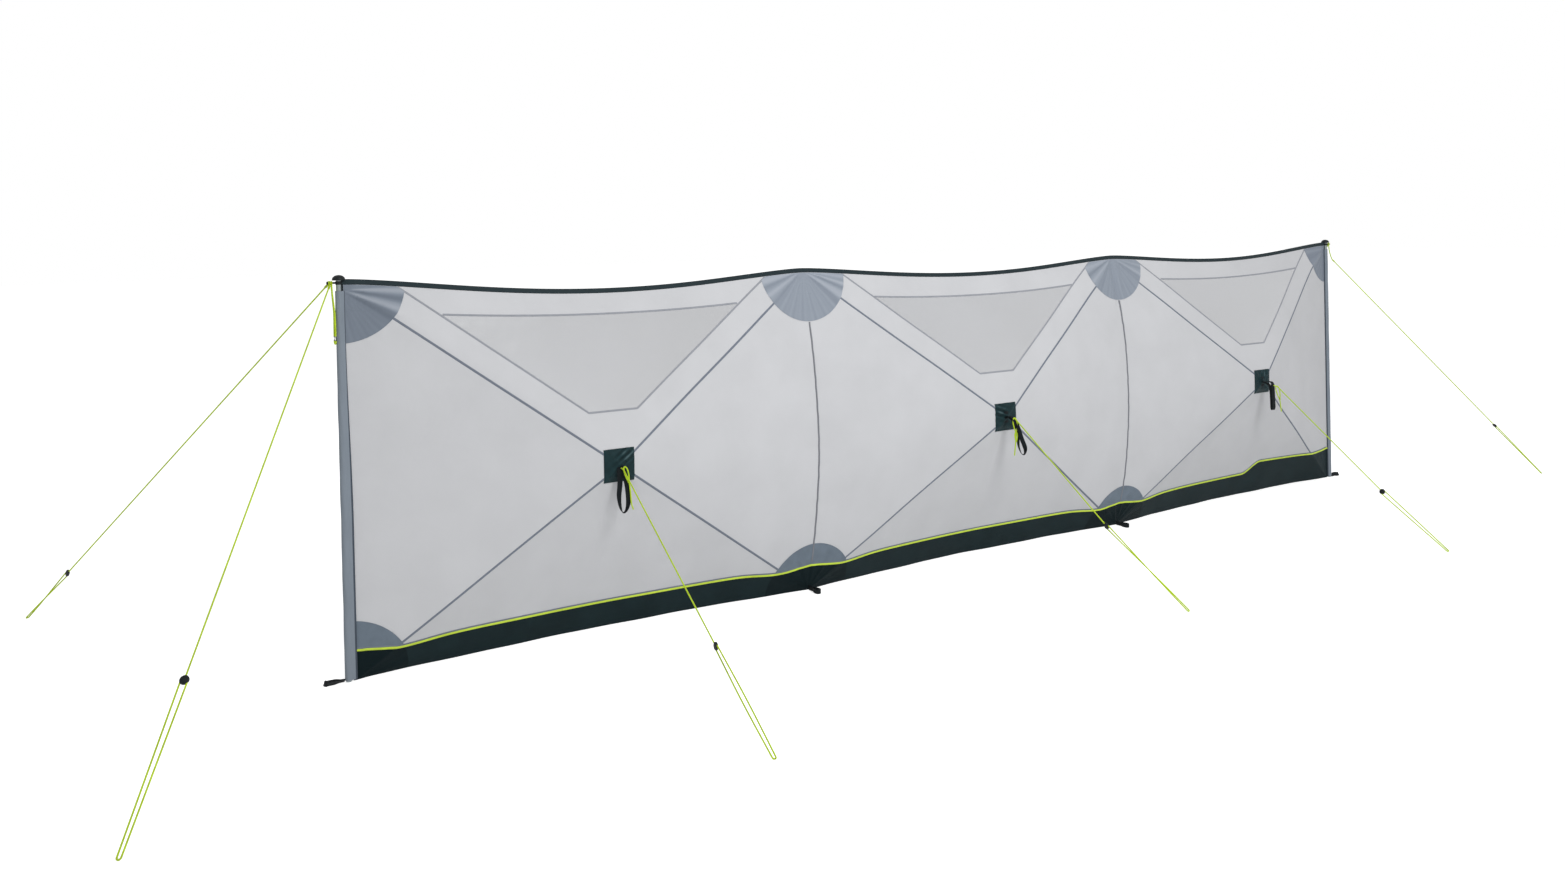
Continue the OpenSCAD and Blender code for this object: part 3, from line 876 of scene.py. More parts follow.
def tape_material(name, colour, roughness, stitches=300, gloss=0.2):
    """A sewn tape or line, with ribs or stitches along its own length."""
    material, shader = new_material(name, colour, roughness, gloss)
    wear_and_sheen_colour(shader, colour, 30, 0.06)
    inputs = {"Scale": stitches, "Vector": mesh_place(shader)}
    ribs = add_node(shader.id_data, "ShaderNodeTexWave", inputs, bands_direction="DIAGONAL")
    add_bump(shader, ribs.outputs["Fac"], STITCH_H)
    return material


def painted_light_material(name, colours, middle, roughness, gloss):
    """A cloth painted from a shade colour to a highlight colour by the painted shading written in its mesh.
    """
    material, shader = new_material(name, colours[1], roughness, gloss)
    stops = [(at, linear(colour)) for at, colour in zip((0, middle, 1), colours)]
    colour_by(shader, mesh_place(shader), stops)
    weave(shader, 330)
    add_bump(shader, noise(shader, 60, 3.0), 0.0009)
    return material


def hard_material(name, colour, roughness, metallic=0.0, grain=120):
    material, shader = new_material(name, colour, roughness, 0.2)
    put(shader.inputs["Metallic"], metallic)
    wear_and_sheen_colour(shader, colour, 20, 0.05)
    add_bump(shader, noise(shader, grain, 5.0), 0.0002, 0.4)
    return material


def film_material(name, colour):
    """A smoked film. Each of its two faces lets part of the light through."""
    material, shader = new_material(name, colour, 0.22, 0.1)
    # Painted sheen: wide patches of lighter and darker film stand in for soft reflections
    wear_and_sheen_colour(shader, colour, 1.2, 0.2)
    put(shader.inputs["Alpha"], FILM_ALPHA)
    add_bump(shader, noise(shader, 9, 2.0), 0.004)
    return material


PANEL = cloth_material("panel_cloth", PANEL_GREY, 0.8)
FILM = film_material("window_film", FILM_GREY)
DARK_WEAVE = {"crinkle": 0.001, "threads": 420, "coarse": 9, "gloss": 0.06}
MUD = cloth_material("mud_cloth", DARK_CLOTH, 0.6, 0.15, **DARK_WEAVE)
MUD_DOUBLE = cloth_material("mud_cloth_double", DARK_DOUBLE, 0.6, 0.12, **DARK_WEAVE)
SEAM = tape_material("seam_tape", SEAM_GREY, 0.8)
WINDOW_SEAM = tape_material("window_seam_tape", WINDOW_SEAM_GREY, 0.8)
UPRIGHT_SEAM = tape_material("upright_seam_tape", UPRIGHT_GREY, 0.8)
BINDING = tape_material("binding", BINDING_DARK, 0.6, gloss=0.12)
# Head patch cloths coloured by their painted highlights and shade
HEAD_PATCHES = [
    painted_light_material(f"head_patch_cloth_{i}", colours, 0.3, 0.5, 0.2)
    for i, colours in enumerate(HEAD_PAINTED_GREYS)
]
FOOT_PATCH = cloth_material("foot_patch_cloth", FOOT_GREY, 0.6, 0.08, crinkle=0.0008, threads=330, coarse=24)
# The dark squares' cloth, coloured by its painted highlights and shade
SQUARE = painted_light_material("hub_square_cloth", HUB_PAINTED_GREYS, 0.45, 0.45, 0.1)
WEBBING = tape_material("webbing", BLACK_WEB, 0.65, 420, 0.15)
SLEEVE = cloth_material("sleeve_cloth", SLEEVE_GREY, 0.75, 0.05)
SLEEVE_SEAM = tape_material("sleeve_seam", SLEEVE_SEAM_GREY, 0.8)
PIPING = tape_material("piping", LIME, 0.55, 500)
LINE = tape_material("guy_line", LINE_LIME, 0.6, 700)
PLASTIC = hard_material("black_plastic", BLACK_PLASTIC, 0.5)
POLE = hard_material("pole_steel", STEEL, 0.35, 1.0, 300)
ROD = hard_material("rod_fibre", ROD_GREY, 0.45, 0.0, 200)


# The cloth

CLOTH_NODES = {
    "left": ("left_pole_side_panel", "left_seam_side_panel"),
    "middle": ("middle_left_panel", "middle_right_panel"),
    "right": ("right_seam_side_panel", "right_pole_side_panel"),
}
PATCH_NODES = ("left_end_patches", "first_seam_patches", "second_seam_patches", "right_end_patches")


def make_panels(b, points, zones, seams):
    """The light panels of one bay."""
    bay = BAYS[b]
    wanted = (
        ("band", f"{bay}_top_panel"),
        ("strip", f"{bay}_top_panel"),
        ("left", CLOTH_NODES[bay][0]),
        ("right", CLOTH_NODES[bay][1]),
        ("bottom", f"{bay}_bottom_panel"),
    )
    for zone, node in wanted:
        shape, area = layer(points, zones[zone], 0, CLOTH_T)
        name = f"{node}_{zone}" if zone in ("band", "strip") else f"{node}_cloth"
        piece = make_piece(name, shape, [PANEL], [node])


def make_film(b, points, zones):
    shape, area = layer(points, zones["film"], 0.0002, FILM_T)
    piece = make_piece(f"{BAYS[b]}_window_film", shape, [FILM], [f"{BAYS[b]}_window"])


def make_mudwall(b, points, zones):
    """The dark strip along the ground. It is darker where the corner cloth doubles it."""
    triangles = zones["mud"]
    x, z = points[triangles].mean(1).T
    double = np.zeros(len(triangles), int)
    for i in (b, b + 1):
        if i < 3:
            double[np.hypot(x - FEET[i][0], z) < FEET[i][1]] = 1
    shape, area = layer(points, triangles, 0, CLOTH_T, double.tolist())
    node = f"{BAYS[b]}_mudwall"
    piece = make_piece(f"{node}_cloth", shape, [MUD, MUD_DOUBLE], [node])


def make_square(b, points, zones):
    # Painted highlights and shade of the square, written into its mesh
    painted_shading = partial(painted_hub_light, b)
    shape, area = layer(points, zones["square"], -SQUARE_T - 0.0004, SQUARE_T, painted_shading=painted_shading)
    piece = make_piece(f"{BAYS[b]}_hub_square", shape, [SQUARE], ["hub_patches"])


def make_patch(bays, i, end, material):
    """One round patch at the head or foot of an upright, on the bays beside it."""
    # Head patches get painted highlights and shade, written into their mesh
    painted_shading = partial(painted_head_light, i=i) if end == "head" else None
    shape = Shape()
    for b, key in ((i - 1, f"{end}_b"), (i, f"{end}_a")):
        if 0 <= b < 3 and len(bays[b][1][key]):
            part, part_area = layer(bays[b][0], bays[b][1][key], -PATCH_T - 0.0004, PATCH_T, painted_shading=painted_shading)
            shape.add(part.corners, part.faces, 0, part.places)
    name = PATCH_NODES[i].replace("patches", "patch")
    piece = make_piece(f"{name}_{end}", shape, [material], [PATCH_NODES[i]])


def make_patches(bays):
    """The round patches in the corners. The tall mudwall takes the place of the last lower one."""
    for i in range(4):
        make_patch(bays, i, "head", HEAD_PATCHES[i])
        if i < 3:
            make_patch(bays, i, "foot", FOOT_PATCH)


def strip(shape, line, half, lift, paint=0):
    """Adds a sewn tape along a line seen from the front."""
    line = np.asarray(line, float)
    ways = path_ways(line, False)
    across = points_from(-ways[:, 1], ways[:, 0])
    along = run_along(line)
    corners = []
    places = []
    for share, height in TAPE_SECTION:
        x, z = (line + share * half * across).T
        corners.append(points_from(x, cloth_y(x, z) - height * lift, z))
        places.append(points_from(along, np.full(len(line), share * half)))
    faces = quads(len(TAPE_SECTION), len(line), around=False)
    return shape.add(np.concatenate(corners), faces, paint, np.concatenate(places))


def clear_of_patches(b, line):
    """The stretch of a line above the piping and outside the corner patches and the hub's square."""
    keep = line[:, 1] > mud_z(line[:, 0]) + PIPING_W
    for patch in bay_patches(b):
        if patch[0] != FEET[3][0] or patch[1] > 0:
            keep &= patch_share(patch, *line.T) > 0.97
    keep &= np.abs(line - (HUB_X[b], HUB_Z)).max(1) > HUB_PATCH_W / 2 - 0.006
    return line[keep]


def make_bay_seams(b):
    """The grey seams of one bay: over the rods, round the window and above the piping."""
    shape = Shape()
    for corner in rod_ends(b):
        line = spread_points([(HUB_X[b], HUB_Z), corner], SEAM_STEP)
        strip(shape, clear_of_patches(b, line), SEAM_HALF, SEAM_LIFT)
    sides = window_sides(b, SEAM_STEP)
    sides = sides[sides[:, 1] < top_z(b, sides[:, 0]) - BINDING_W]
    strip(shape, sides, WINDOW_SEAM_HALF, SEAM_LIFT, 1)
    top = window_top(b)
    strip(shape, top[in_vee(b, *top.T)], WINDOW_SEAM_HALF, SEAM_LIFT, 1)
    x = np.arange(CLOTH_X[b] + 0.002, CLOTH_X[b + 1], 0.01)
    foot = points_from(x, mud_z(x) + PIPING_W + FOOT_SEAM_HALF)
    strip(shape, foot, FOOT_SEAM_HALF, FOOT_SEAM_LIFT)
    return make_piece(f"{BAYS[b]}_bay_seams", shape, [SEAM, WINDOW_SEAM])


def make_upright_seams():
    """The seams between the bays."""
    for i, name in ((1, "first_seam_tape"), (2, "second_seam_tape")):
        z = np.arange(MUD_MIDDLE + 0.012, EDGE_Z[i] - HEADS[i][2] + 0.006, 0.01)
        line = points_from(np.full(len(z), EDGE_X[i]), z)
        shape = strip(Shape(), line, UPRIGHT_SEAM_HALF, UPRIGHT_SEAM_LIFT)
        make_piece(name, shape, [UPRIGHT_SEAM])


def wall_x():
    """Places along the whole wall for its trims."""
    return np.append(np.arange(CLOTH_X[0], CLOTH_X[3], TRIM_STEP), CLOTH_X[3])


def wall_top_z(x):
    return by_bay(x, lambda b: top_z(b, x))


def make_piping():
    x = wall_x()
    z = mud_z(x) + PIPING_W / 2
    path = points_from(x, cloth_y(x, z) - PIPING_AHEAD, z)
    shape = sweep(Shape(), path, profile_ring(10, PIPING_W / 2, PIPING_HALF_T), (0, 0, 1))
    make_piece("piping_cord", shape, [PIPING], ["piping"])


def make_binding():
    """The dark tape folded over the top edge."""
    x = wall_x()
    z = wall_top_z(x) - BINDING_W / 2
    path = points_from(x, cloth_y(x, z) + BINDING_BACK, z)
    lean = cloth_y(x, z) - cloth_y(x, z - 0.01)
    side = points_from(np.zeros_like(x), lean, np.full(len(x), 0.01))
    path[0, 0] = POLE_R
    path[-1, 0] = WALL_L - POLE_R
    shape = sweep(Shape(), path, flat_profile(BINDING_W, BINDING_T), side)
    make_piece("top_binding_tape", shape, [BINDING], ["top_binding"])


# Poles, rods and webbing


def sleeve_row(right, turn, z, inner):
    """One ring of a sleeve's outer or inner face, with the seam drawn out towards the panel."""
    beak = bell(turn, 0.5)
    crease = 0.0007 * np.sin(3 * turn + 9 * z) * np.sin(31 * z + 2 * turn)
    edge = SLEEVE_EDGE + FLANGES[right] * smooth((1.25 - z) / 0.7)
    r = SLEEVE_R + (edge - SLEEVE_R) * beak + crease * (1 - beak) - inner
    height = np.full(len(turn), z)
    x = r * np.cos(turn)
    place = WALL_L - x if right else x
    ahead = np.minimum(0.0012, cloth_y(place, height) - 0.0016 + inner)
    return points_from(place, r * np.sin(turn) + ahead * beak, height)


def make_sleeve(right):
    """The cloth tube round an end pole, drawn out to the seam where it meets the panel."""
    name = f"{ENDS[right]}_sleeve"
    turn = np.linspace(-math.pi, math.pi, 37)[:-1]
    heights = np.arange(0.006, SLEEVE_TOP, 0.0125)
    count = len(turn)
    rows = len(heights)
    total = rows * count
    corners = [sleeve_row(right, turn, z, inner) for inner in (0, SLEEVE_T) for z in heights]
    outer = quads(rows, count)
    seam = [int(min(abs(turn[k % count]) for k in face) < 0.2) for face in outer]
    faces = outer + [tuple(total + k for k in face[::-1]) for face in outer]
    for first, way in ((0, 1), (total - count, -1)):
        for m in range(count):
            p, q = first + m, first + (m + 1) % count
            faces.append((q, p, total + p, total + q)[::way])
    faces = [face[::-1] for face in faces] if right else faces
    shape = Shape().add(np.concatenate(corners), faces, [*seam, *seam, *([0] * 2 * count)])
    piece = make_piece(f"{name}_cloth", shape, [SLEEVE, SLEEVE_SEAM], [name])


def make_cap(right):
    """A domed cap with the stud that carries the guys."""
    name = f"{ENDS[right]}_cap"
    start, outward = (WALL_L, 1) if right else (0, -1)
    shape = Shape()
    for profile in (CAP_DOME, CAP_COLLAR):
        lathe(shape, (start, 0, 0), profile)
    stud = (POLE_R, 0.02, STUD_END)
    head = (STUD_END - 0.0002, STUD_END + 0.0012, STUD_END + 0.003)
    taper = [(0.8, 0.8), (1, 1), (0.75, 0.75)]
    for places, count, r, scale in ((stud, 20, STUD_R, None), (head, 24, STUD_HEAD_R, taper)):
        path = [(start + outward * d, 0, STUD_Z) for d in places]
        sweep(shape, path, profile_ring(count, r, r), (0, 0, 1), scale=scale)
    make_piece(f"{name}_dome", shape, [PLASTIC], [name])


def make_corner_tab(right):
    """A dark tab beside the pole's head and the cloth gusset that joins it to the panel."""
    name = f"{ENDS[right]}_corner_tab"
    start, inward = (WALL_L, -1) if right else (0, 1)
    shape = Shape()
    for paint, (x, width) in enumerate(TAB_LAYERS):
        path = [(start + inward * x, 0, z) for z in TAB_HEIGHTS]
        sweep(shape, path, flat_profile(width, WEBBING_T), (1, 0, 0), paint=paint)
    make_piece(name, shape, [WEBBING, SLEEVE])


def make_pockets():
    """Cloth pockets that hold the rods' ends behind the corners, flattened where they are sewn down."""
    shape = Shape()
    t = np.linspace(0, 1, 9)
    flat = smooth((t - 0.55) / 0.45)
    scale = points_from(1 + 0.5 * flat, 1 - 0.8 * flat)
    section = profile_ring(16, POCKET_R, POCKET_R)
    for b in range(3):
        hub = np.array([HUB_X[b], HUB_Y[b], HUB_Z])
        for i, z in [(i, z) for i in (b, b + 1) for z in (EDGE_Z[i], 0.0)]:
            corner = np.array([EDGE_X[i], EDGE_Y[i], z])
            start = hub + FLAT_SHARE * (corner - hub)
            start[1] = HUB_Y[b]
            way = unit(corner - start)
            end = corner + [0, ROD_BACK, 0] - POCKET_SET * way
            path = end - POCKET_L * way + t[:, None] * (POCKET_L + 0.012) * way
            sweep(shape, path, section, np.cross(way, (0, 1, 0)), scale=scale)
    return make_piece("rod_pocket_cloth", shape, [WEBBING], ["rod_pockets"])


def from_hub(b, points):
    """Points given in millimetres to the right, to the front and up from the root of a bay's strap."""
    root = np.array([HUB_X[b], STRAP_Y[b], HUB_Z])
    return root + np.asarray(points, float) / 1000 @ np.stack([RIGHT, FRONT, UP])


def curve(points, count=6):
    """A smooth line through points."""
    points = np.asarray(points, float)
    ways = np.gradient(points, axis=0)
    t = np.linspace(0, 1, count, endpoint=False)[:, None]
    parts = []
    for k in range(len(points) - 1):
        ends = (2 * t**3 - 3 * t**2 + 1) * points[k] + (3 * t**2 - 2 * t**3) * points[k + 1]
        bends = (t**3 - 2 * t**2 + t) * ways[k] + (t**3 - t**2) * ways[k + 1]
        parts.append(ends + bends)
    return np.concatenate([*parts, points[-1:]])


# Each pull strap as it fell: places from its root in mm to the right, to the front and up, and there the
# right and front shares of its width's direction
STRAPS = (
    (
        (0, 0, -4, 1, 0), (2, 14, -12, 1, 0), (4, 24, -35, 1, 0), (3, 26, -71, 1, 0.15),
        (-1, 26, -107, 0.95, 0.3), (0, 27, -135, 0.8, 0.6), (4, 28, -158, 0.6, 0.8),
        (11, 29, -174, 0.3, 0.95),
        (20, 29, -174, 0.4, 0.9), (29, 28, -160, 0.7, 0.7), (34, 27, -136, 0.95, 0.3), (34, 26, -108, 1, 0),
        (30, 25, -71, 1, 0), (22, 21, -35, 1, 0), (12, 9, -12, 1, 0), (3, 0, -4, 1, 0),
    ),
    (
        (2, 2, 2, 0.84, -0.55), (8, 22, 6, 0.84, -0.55), (14, 44, 7, 0.84, -0.55), (23, 60, 0, 0.9, -0.3),
        (35, 62, -24, 1, 0), (49, 63, -65, 1, 0), (58, 63, -95, 1, 0), (69, 63, -124, 1, 0.1),
        (73, 63, -146, 0.6, 0.8), (67, 64, -165, 0, 1), (53, 64, -158, 0, 1), (42, 64, -124, 0.3, 0.95),
        (41, 64, -95, 0.45, 0.89), (40, 64, -65, 0.45, 0.89), (32, 62, -34, 0.6, 0.7), (21, 58, -8, 0.85, 0),
        (12, 40, 0, 0.84, -0.55), (5, 18, -1, 0.84, -0.55), (1, 2, -3, 0.84, -0.55),
    ),
    tuple(
        (*place, 0.97, -0.24)
        for place in (
            (2, 2, 0), (8, 22, 3), (14, 46, 5), (22, 66, 3), (27, 74, -14), (28, 75, -50), (29, 75, -90),
            (30, 76, -130), (27, 72, -146), (23, 66, -140), (22, 65, -90), (20, 64, -50), (16, 62, -20),
            (10, 46, -8), (6, 26, -5), (4, 4, -4),
        )
    ),
)


def make_strap(b):
    """A webbing loop on the hub's square, hanging as it fell."""
    made = curve(STRAPS[b])
    path = from_hub(b, made[:, :3])
    wide = made[:, 3:] @ np.stack([RIGHT, FRONT])
    shape = sweep(Shape(), path, flat_profile(WEBBING_W, WEBBING_T), wide)
    plate = [(HUB_X[b], STRAP_Y[b] + 0.0008, HUB_Z + d) for d in PLATE_Z]
    sweep(shape, plate, flat_profile(PLATE_W, PLATE_T), (1, 0, 0))
    node = f"{BAYS[b]}_pull_strap"
    piece = make_piece(f"{node}_webbing", shape, [WEBBING], [node])


def make_peg_loop(name, place, turn, eye, reach, stand):
    """A webbing loop for a peg. Its width is turned up from flat by two angles, at its root and its eye."""
    r = LOOP_R
    out = np.linspace(0.002, reach - r, 16)
    half = 0.0013 + (r - 0.0013) * smooth((out - eye + 0.04) / 0.03)
    bend = np.linspace(-math.pi / 2, math.pi / 2, 15)[1:-1]
    along = np.concatenate([out, reach - r + r * np.cos(bend), out[::-1]])
    apart = np.concatenate([-half, r * np.sin(bend), half[::-1]])
    lift = np.radians(stand[0] + (stand[1] - stand[0]) * smooth(along / 0.05))[:, None]
    turn = math.radians(turn)
    outward = np.array([math.sin(turn), -math.cos(turn), 0])
    across = np.array([math.cos(turn), math.sin(turn), 0])
    offset = np.sin(lift) * across - np.cos(lift) * UP
    middle = np.array([*place, 0.0]) + (0.0025 + 0.0078 * np.sin(lift)) * UP
    open_share = smooth(np.abs(apart) / r)[:, None]
    path = middle + along[:, None] * outward
    path = path + apart[:, None] * ((1 - open_share) * offset + open_share * across)
    wide = np.cos(lift) * across + np.sin(lift) * UP
    shape = sweep(Shape(), path, flat_profile(WEBBING_W, WEBBING_T), wide)
    piece = make_piece(f"{name}_webbing", shape, [WEBBING], [name])


def make_peg_loops():
    make_peg_loop("left_peg_loop", (-0.0125, 0), -90, 0.0575, 0.0725, (40, 55))
    make_peg_loop("right_peg_loop", (WALL_L + 0.0125, 0), 90, 0.0575, 0.0735, (35, 60))
    for i, name in ((1, "first_seam_peg_loop"), (2, "second_seam_peg_loop")):
        make_peg_loop(name, (EDGE_X[i], EDGE_Y[i] - 0.006), 0, 0.07, 0.0825, (90, 90))


# Lines


def doubled_paths(start, end, first):
    """Two strands that leave the sides of a runner and meet in a bend round the peg."""
    length = np.linalg.norm(end - start)
    way = (end - start) / length
    last = unit(np.cross(way, UP))
    last = last if first @ last > 0 else -last
    t = np.linspace(0, 1, 28)[:, None]
    across = side_vectors(np.broadcast_to(way, (28, 3)), (1 - t) * first + t * last)
    straight = start + t * (length - BEND_R) * way
    gap = (STRAND_GAP + (BEND_R - STRAND_GAP) * t) * across
    turn = np.linspace(0, math.pi, 11)[1:-1, None]
    u = straight[-1] + BEND_R * (np.cos(turn) * last + np.sin(turn) * way)
    return np.concatenate([straight + gap, u, (straight - gap)[::-1]])


def add_runner(shape, at, way, turn):
    """Adds a round flat runner, turned about its line, and returns the way to its side holes."""
    turn = math.radians(turn)
    front = side_vectors(way[None], FRONT)[0]
    side = np.cross(way, front)
    face = math.cos(turn) * front + math.sin(turn) * side
    half = RUNNER_T / 2
    path = [at + d * face for d in (-half, RUNNER_EDGE - half, half - RUNNER_EDGE, half)]
    scale = [(share, share) for share in (RUNNER_TAPER, 1, 1, RUNNER_TAPER)]
    sweep(shape, path, profile_ring(36, RUNNER_R, RUNNER_R), way, scale=scale)
    for d in (-half, half):
        ring(shape, at + d * face, face, RUNNER_RIM_R, RUNNER_RIM_D)
    return np.cross(face, way)


def add_guy(lines, runners, tie, peg, share, turn, slack=(0, 0, 0)):
    """A line from its tie to its runner, and doubled from there to its peg.

    Its slack is how far its runner drops and how far its start hangs to the right of its tie and down."""
    drop, side, hang = slack
    start = tie + side * RIGHT - hang * UP
    at = start + share * (peg - start) - drop * UP
    way = unit(at - start)
    across = add_runner(runners, at, way, turn)
    if hang:
        rope(lines, curve([tie, tie + 0.3 * side * RIGHT - 0.5 * hang * UP, start, start + 0.02 * way]))
    rope(lines, np.linspace(start, at - 0.5 * RUNNER_R * way, 40))
    rope(lines, doubled_paths(at + 0.3 * RUNNER_R * way, peg, across))
    return start, way


# How far the runners are turned about their lines, in degrees, and the guys' slack in metres
END_TURNS = (0, 35, 80, 35)
HUB_TURNS = (42, 55, 15)
HUB_SLACK = ((0, 0, 0), (0.027, 0, 0), (0.02, 0, 0))
END_SLACK = ((0, 0, 0), (0, 0, 0), (0, 0.02, 0.088), (0, 0, 0))


def make_end_guys(right, runners):
    """The two guys of an end pole, each tied to the stud with a ring and a knot."""
    pegs = RIGHT_PEGS if right else LEFT_PEGS
    shape = Shape()
    for k in range(2):
        peg = np.array([*pegs[k], PEG_Z])
        middle = np.array([WALL_L + RING_X[k] if right else -RING_X[k], 0, STUD_Z])
        tie = middle + RING_R * unit(np.array([0, peg[1], peg[2] - STUD_Z]))
        ring(shape, middle, (1, 0, 0), RING_R, RING_D)
        n = 2 * right + k
        start, way = add_guy(shape, runners, tie, peg, END_RUNNERS[n], END_TURNS[n], END_SLACK[n])
        wrap(shape, start + 0.006 * way, way, 0.014, 0.003, 4, 0.003)
    node = f"{ENDS[right]}_end_guys"
    make_piece(f"{node}_line", shape, [LINE], [node])


# Each hub guy in mm from its strap's root: its start on the strap, where it leaves for its peg, and the top,
# knot and half width of its hanging eye. The tails hang from the knots
HUB_TIES = (
    ((8, 13, -9), (15, 24, -8), (24, 29, -1), (38, 33, -58), 7),
    ((24, 60, 1), (26, 61, 4), (26, 61, 4), (32, 62, -62), 8),
    ((30, 75, -14), (48, 75, -18), (48, 75, -18), (62, 76, -88), 9),
)
TAILS = (
    ((40, 34, -58), (44, 35, -95), (47, 36, -140), (54, 36, -164)),
    ((32, 62, -64), (29, 62, -111), (26, 62, -141), (23, 62, -169)),
    ((62, 76, -90), (65, 76, -112), (67, 77, -136), (69, 77, -158)),
)


def eye_path(top, knot, half):
    """A closed loop of line that hangs open near its top and closes at its knot."""
    t = np.linspace(0, 2 * math.pi, 49)[:-1, None]
    side = half / 1000 * np.sin(t) * (1 + 0.45 * np.cos(t))
    return top + (1 - np.cos(t)) / 2 * (knot - top) + side * RIGHT


def make_hub_guys(runners):
    """Lines tied to the straps, each with a hanging eye and its knot."""
    shape = Shape()
    for b in range(3):
        start, tie, top, knot = from_hub(b, HUB_TIES[b][:4])
        peg = np.array([*HUB_PEGS[b], PEG_Z])
        rope(shape, np.linspace(start, tie + 0.004 * (peg - tie), 6))
        add_guy(shape, runners, tie, peg, HUB_RUNNERS[b], HUB_TURNS[b], HUB_SLACK[b])
        rope(shape, eye_path(top, knot, HUB_TIES[b][4]), closed=True)
        way = unit(knot - top)
        wrap(shape, knot - 0.007 * way, way, 0.012, 0.0032, 3, 0.0034)
        if b == 1:
            rope(shape, eye_path(knot, knot - 0.044 * UP, 5.5), closed=True)
    make_piece("hub_guys_line", shape, [LINE], ["hub_guys"])


def make_tail(b):
    """The free end of a hub guy, hanging from its knot."""
    path = from_hub(b, curve(TAILS[b], 12))
    piece = make_piece(f"{BAYS[b]}_hub_guy_tail", rope(Shape(), path), [LINE])


def make_spare_line():
    """A loop of spare line that hangs from the left stud beside the sleeve."""
    r = SPARE_R
    top = STUD_Z - RING_R
    low = top - SPARE_DROP
    t = np.linspace(0, 1, 13)
    spread = 0.002 + (r - 0.002) * smooth(t)
    down_z = top + (low - top) * t
    turn = np.linspace(0, math.pi, 13)[1:-1]
    y = np.concatenate([-spread, -r * np.cos(turn), spread[::-1]])
    z = np.concatenate([down_z, low - r * np.sin(turn), down_z[::-1]])
    x = -RING_X[2] + 0.0075 * smooth((top - z) / 0.12)
    path = points_from(x, y, z)
    piece = make_piece("spare_line_loop", rope(Shape(), path), [LINE], ["spare_line"])
    tied = ring(Shape(), (-RING_X[2], 0, STUD_Z), (1, 0, 0), RING_R, RING_D)
    make_piece("spare_line_ring", tied, [LINE], ["spare_line"])


def dress_cad_nodes():
    """Gives the rigid CAD nodes that stay their finishes."""
    finishes = {"hubs": PLASTIC, "left_pole": POLE, "right_pole": POLE}
    finishes.update({f"{bay}_rods": ROD for bay in BAYS})
    for node, material in finishes.items():
        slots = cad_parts[node].data.materials
        slots.clear()
        slots.append(material)


# Camera, floor and light

CAMERA_AT = (-1.1201, -4.5944, 1.5631)
CAMERA_YAW = 0.5798
CAMERA_PITCH = -0.0109
CAMERA_ROLL = -0.0223
CAMERA_LENS = 28.861
CAMERA_SHIFT_Y = -0.1233
LAMP_AT = (2.0, -6.3, 5.4)
LAMP_AIM = (2.6, -0.15, 0.7)
LAMP_W = 2.0
LAMP_POWER = 308
AMBIENT = 0.56
FLOOR_HALF = 60
FLOOR_AT = (2.9, 0, -0.0005)
FLOOR_GLOW = 0.62


def make_camera():
    """The photo's view point. The shift stands for the photo's crop."""
    data = bpy.data.cameras.new("camera")
    data.sensor_fit = "HORIZONTAL"
    data.sensor_width = 36
    data.lens = CAMERA_LENS
    data.shift_y = CAMERA_SHIFT_Y
    flat = math.cos(CAMERA_PITCH)
    forward = Vector((math.sin(CAMERA_YAW) * flat, math.cos(CAMERA_YAW) * flat, math.sin(CAMERA_PITCH)))
    level = Vector((math.cos(CAMERA_YAW), -math.sin(CAMERA_YAW), 0))
    upright = level.cross(forward)
    right = math.cos(CAMERA_ROLL) * level + math.sin(CAMERA_ROLL) * upright
    up = -math.sin(CAMERA_ROLL) * level + math.cos(CAMERA_ROLL) * upright
    turned = Matrix((right, up, -forward)).transposed()
    camera = add_object("camera", data)
    camera.matrix_world = Matrix.Translation(CAMERA_AT) @ turned.to_4x4()
    bpy.context.scene.camera = camera


def seen_rays(tree):
    """A number that is 1 for rays that show a thing itself and 0 for rays of its light on others."""
    rays = add_node(tree, "ShaderNodeLightPath").outputs
    total = add_math(tree, "ADD", rays["Is Camera Ray"], rays["Is Glossy Ray"], True)
    return add_math(tree, "ADD", total, rays["Is Transmission Ray"], True)


def floor_material():
    """A pale floor that looks white and keeps the object's shadow."""
    material, shader = new_material("floor", FLOOR_WHITE, 0.9, 0.0)
    tree = material.node_tree
    level = add_math(tree, "MULTIPLY", seen_rays(tree), FLOOR_GLOW)
    glow = add_node(tree, "ShaderNodeEmission", {"Strength": level}).outputs["Emission"]
    total = add_node(tree, "ShaderNodeAddShader", {0: shader.outputs["BSDF"], 1: glow})
    put(tree.nodes["Material Output"].inputs["Surface"], total.outputs["Shader"])
    return material


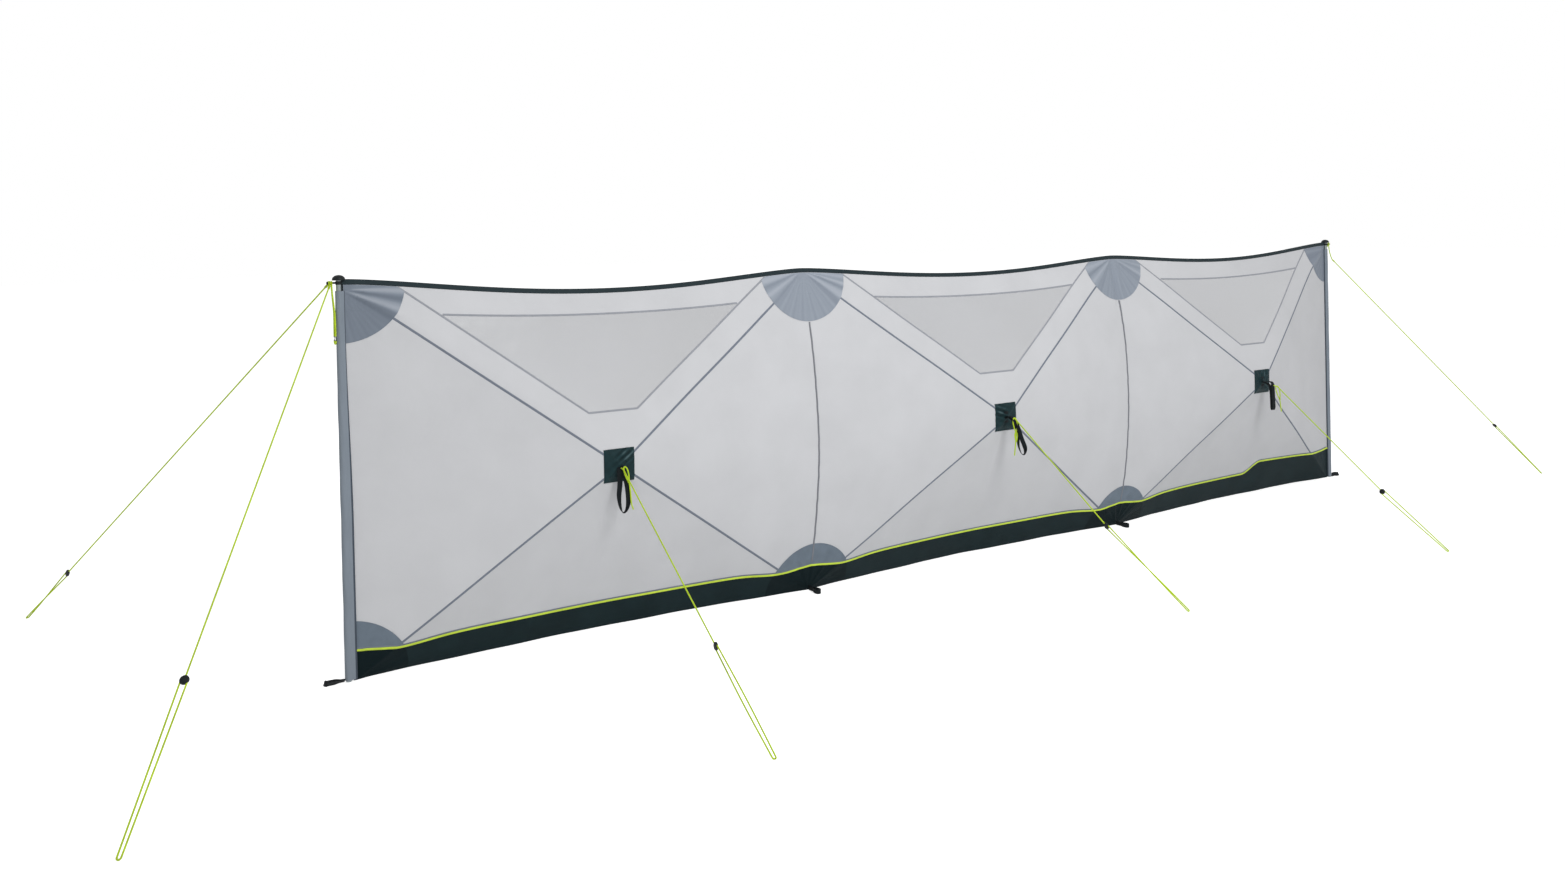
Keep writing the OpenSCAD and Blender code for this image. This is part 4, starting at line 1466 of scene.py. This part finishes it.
def make_floor():
    mesh = bpy.data.meshes.new("floor")
    corners = [(x * FLOOR_HALF, y * FLOOR_HALF, 0) for x, y in ((-1, -1), (1, -1), (1, 1), (-1, 1))]
    mesh.from_pydata(corners, [], [(0, 1, 2, 3)])
    mesh.materials.append(floor_material())
    floor = add_object("floor", mesh)
    floor.location = FLOOR_AT


def make_lamp():
    """One large soft light in front of the wall."""
    data = bpy.data.lights.new("lamp", "AREA")
    data.size = LAMP_W
    data.energy = LAMP_POWER
    lamp = add_object("lamp", data)
    lamp.location = LAMP_AT
    lamp.rotation_euler = (Vector(LAMP_AIM) - Vector(LAMP_AT)).to_track_quat("-Z", "Y").to_euler()
    lamp.visible_camera = False


def make_world():
    """Even light from all round, and plain white where the world itself is seen."""
    world = bpy.data.worlds.new("studio")
    world.use_nodes = True
    tree = world.node_tree
    light = tree.nodes["Background"]
    put(light.inputs["Color"], (1, 1, 1, 1))
    put(light.inputs["Strength"], AMBIENT)
    seen = add_node(tree, "ShaderNodeBackground", {"Color": (1, 1, 1, 1), "Strength": 1.0})
    shown = {"Fac": seen_rays(tree), 1: light.outputs["Background"], 2: seen.outputs["Background"]}
    mix = add_node(tree, "ShaderNodeMixShader", shown)
    put(tree.nodes["World Output"].inputs["Surface"], mix.outputs["Shader"])
    bpy.context.scene.world = world
    bpy.context.scene.view_settings.view_transform = "Standard"


def build():
    bays = []
    for b in range(3):
        points, triangles = bay_mesh(b)
        zones = bay_zones(b, points, triangles)
        bays.append((points, zones))
        make_panels(b, points, zones, make_bay_seams(b))
        make_film(b, points, zones)
        make_mudwall(b, points, zones)
        make_square(b, points, zones)
        make_strap(b)
    make_patches(bays)
    make_upright_seams()
    make_piping()
    make_binding()
    make_pockets()
    make_peg_loops()
    runners = Shape()
    for right in (False, True):
        make_sleeve(right)
        make_cap(right)
        make_corner_tab(right)
        make_end_guys(right, runners)
    make_hub_guys(runners)
    make_piece("guy_runners", runners, [PLASTIC], ["runners"])
    for b in range(3):
        make_tail(b)
    make_spare_line()
    dress_cad_nodes()


build()
make_camera()
make_floor()
make_lamp()
make_world()
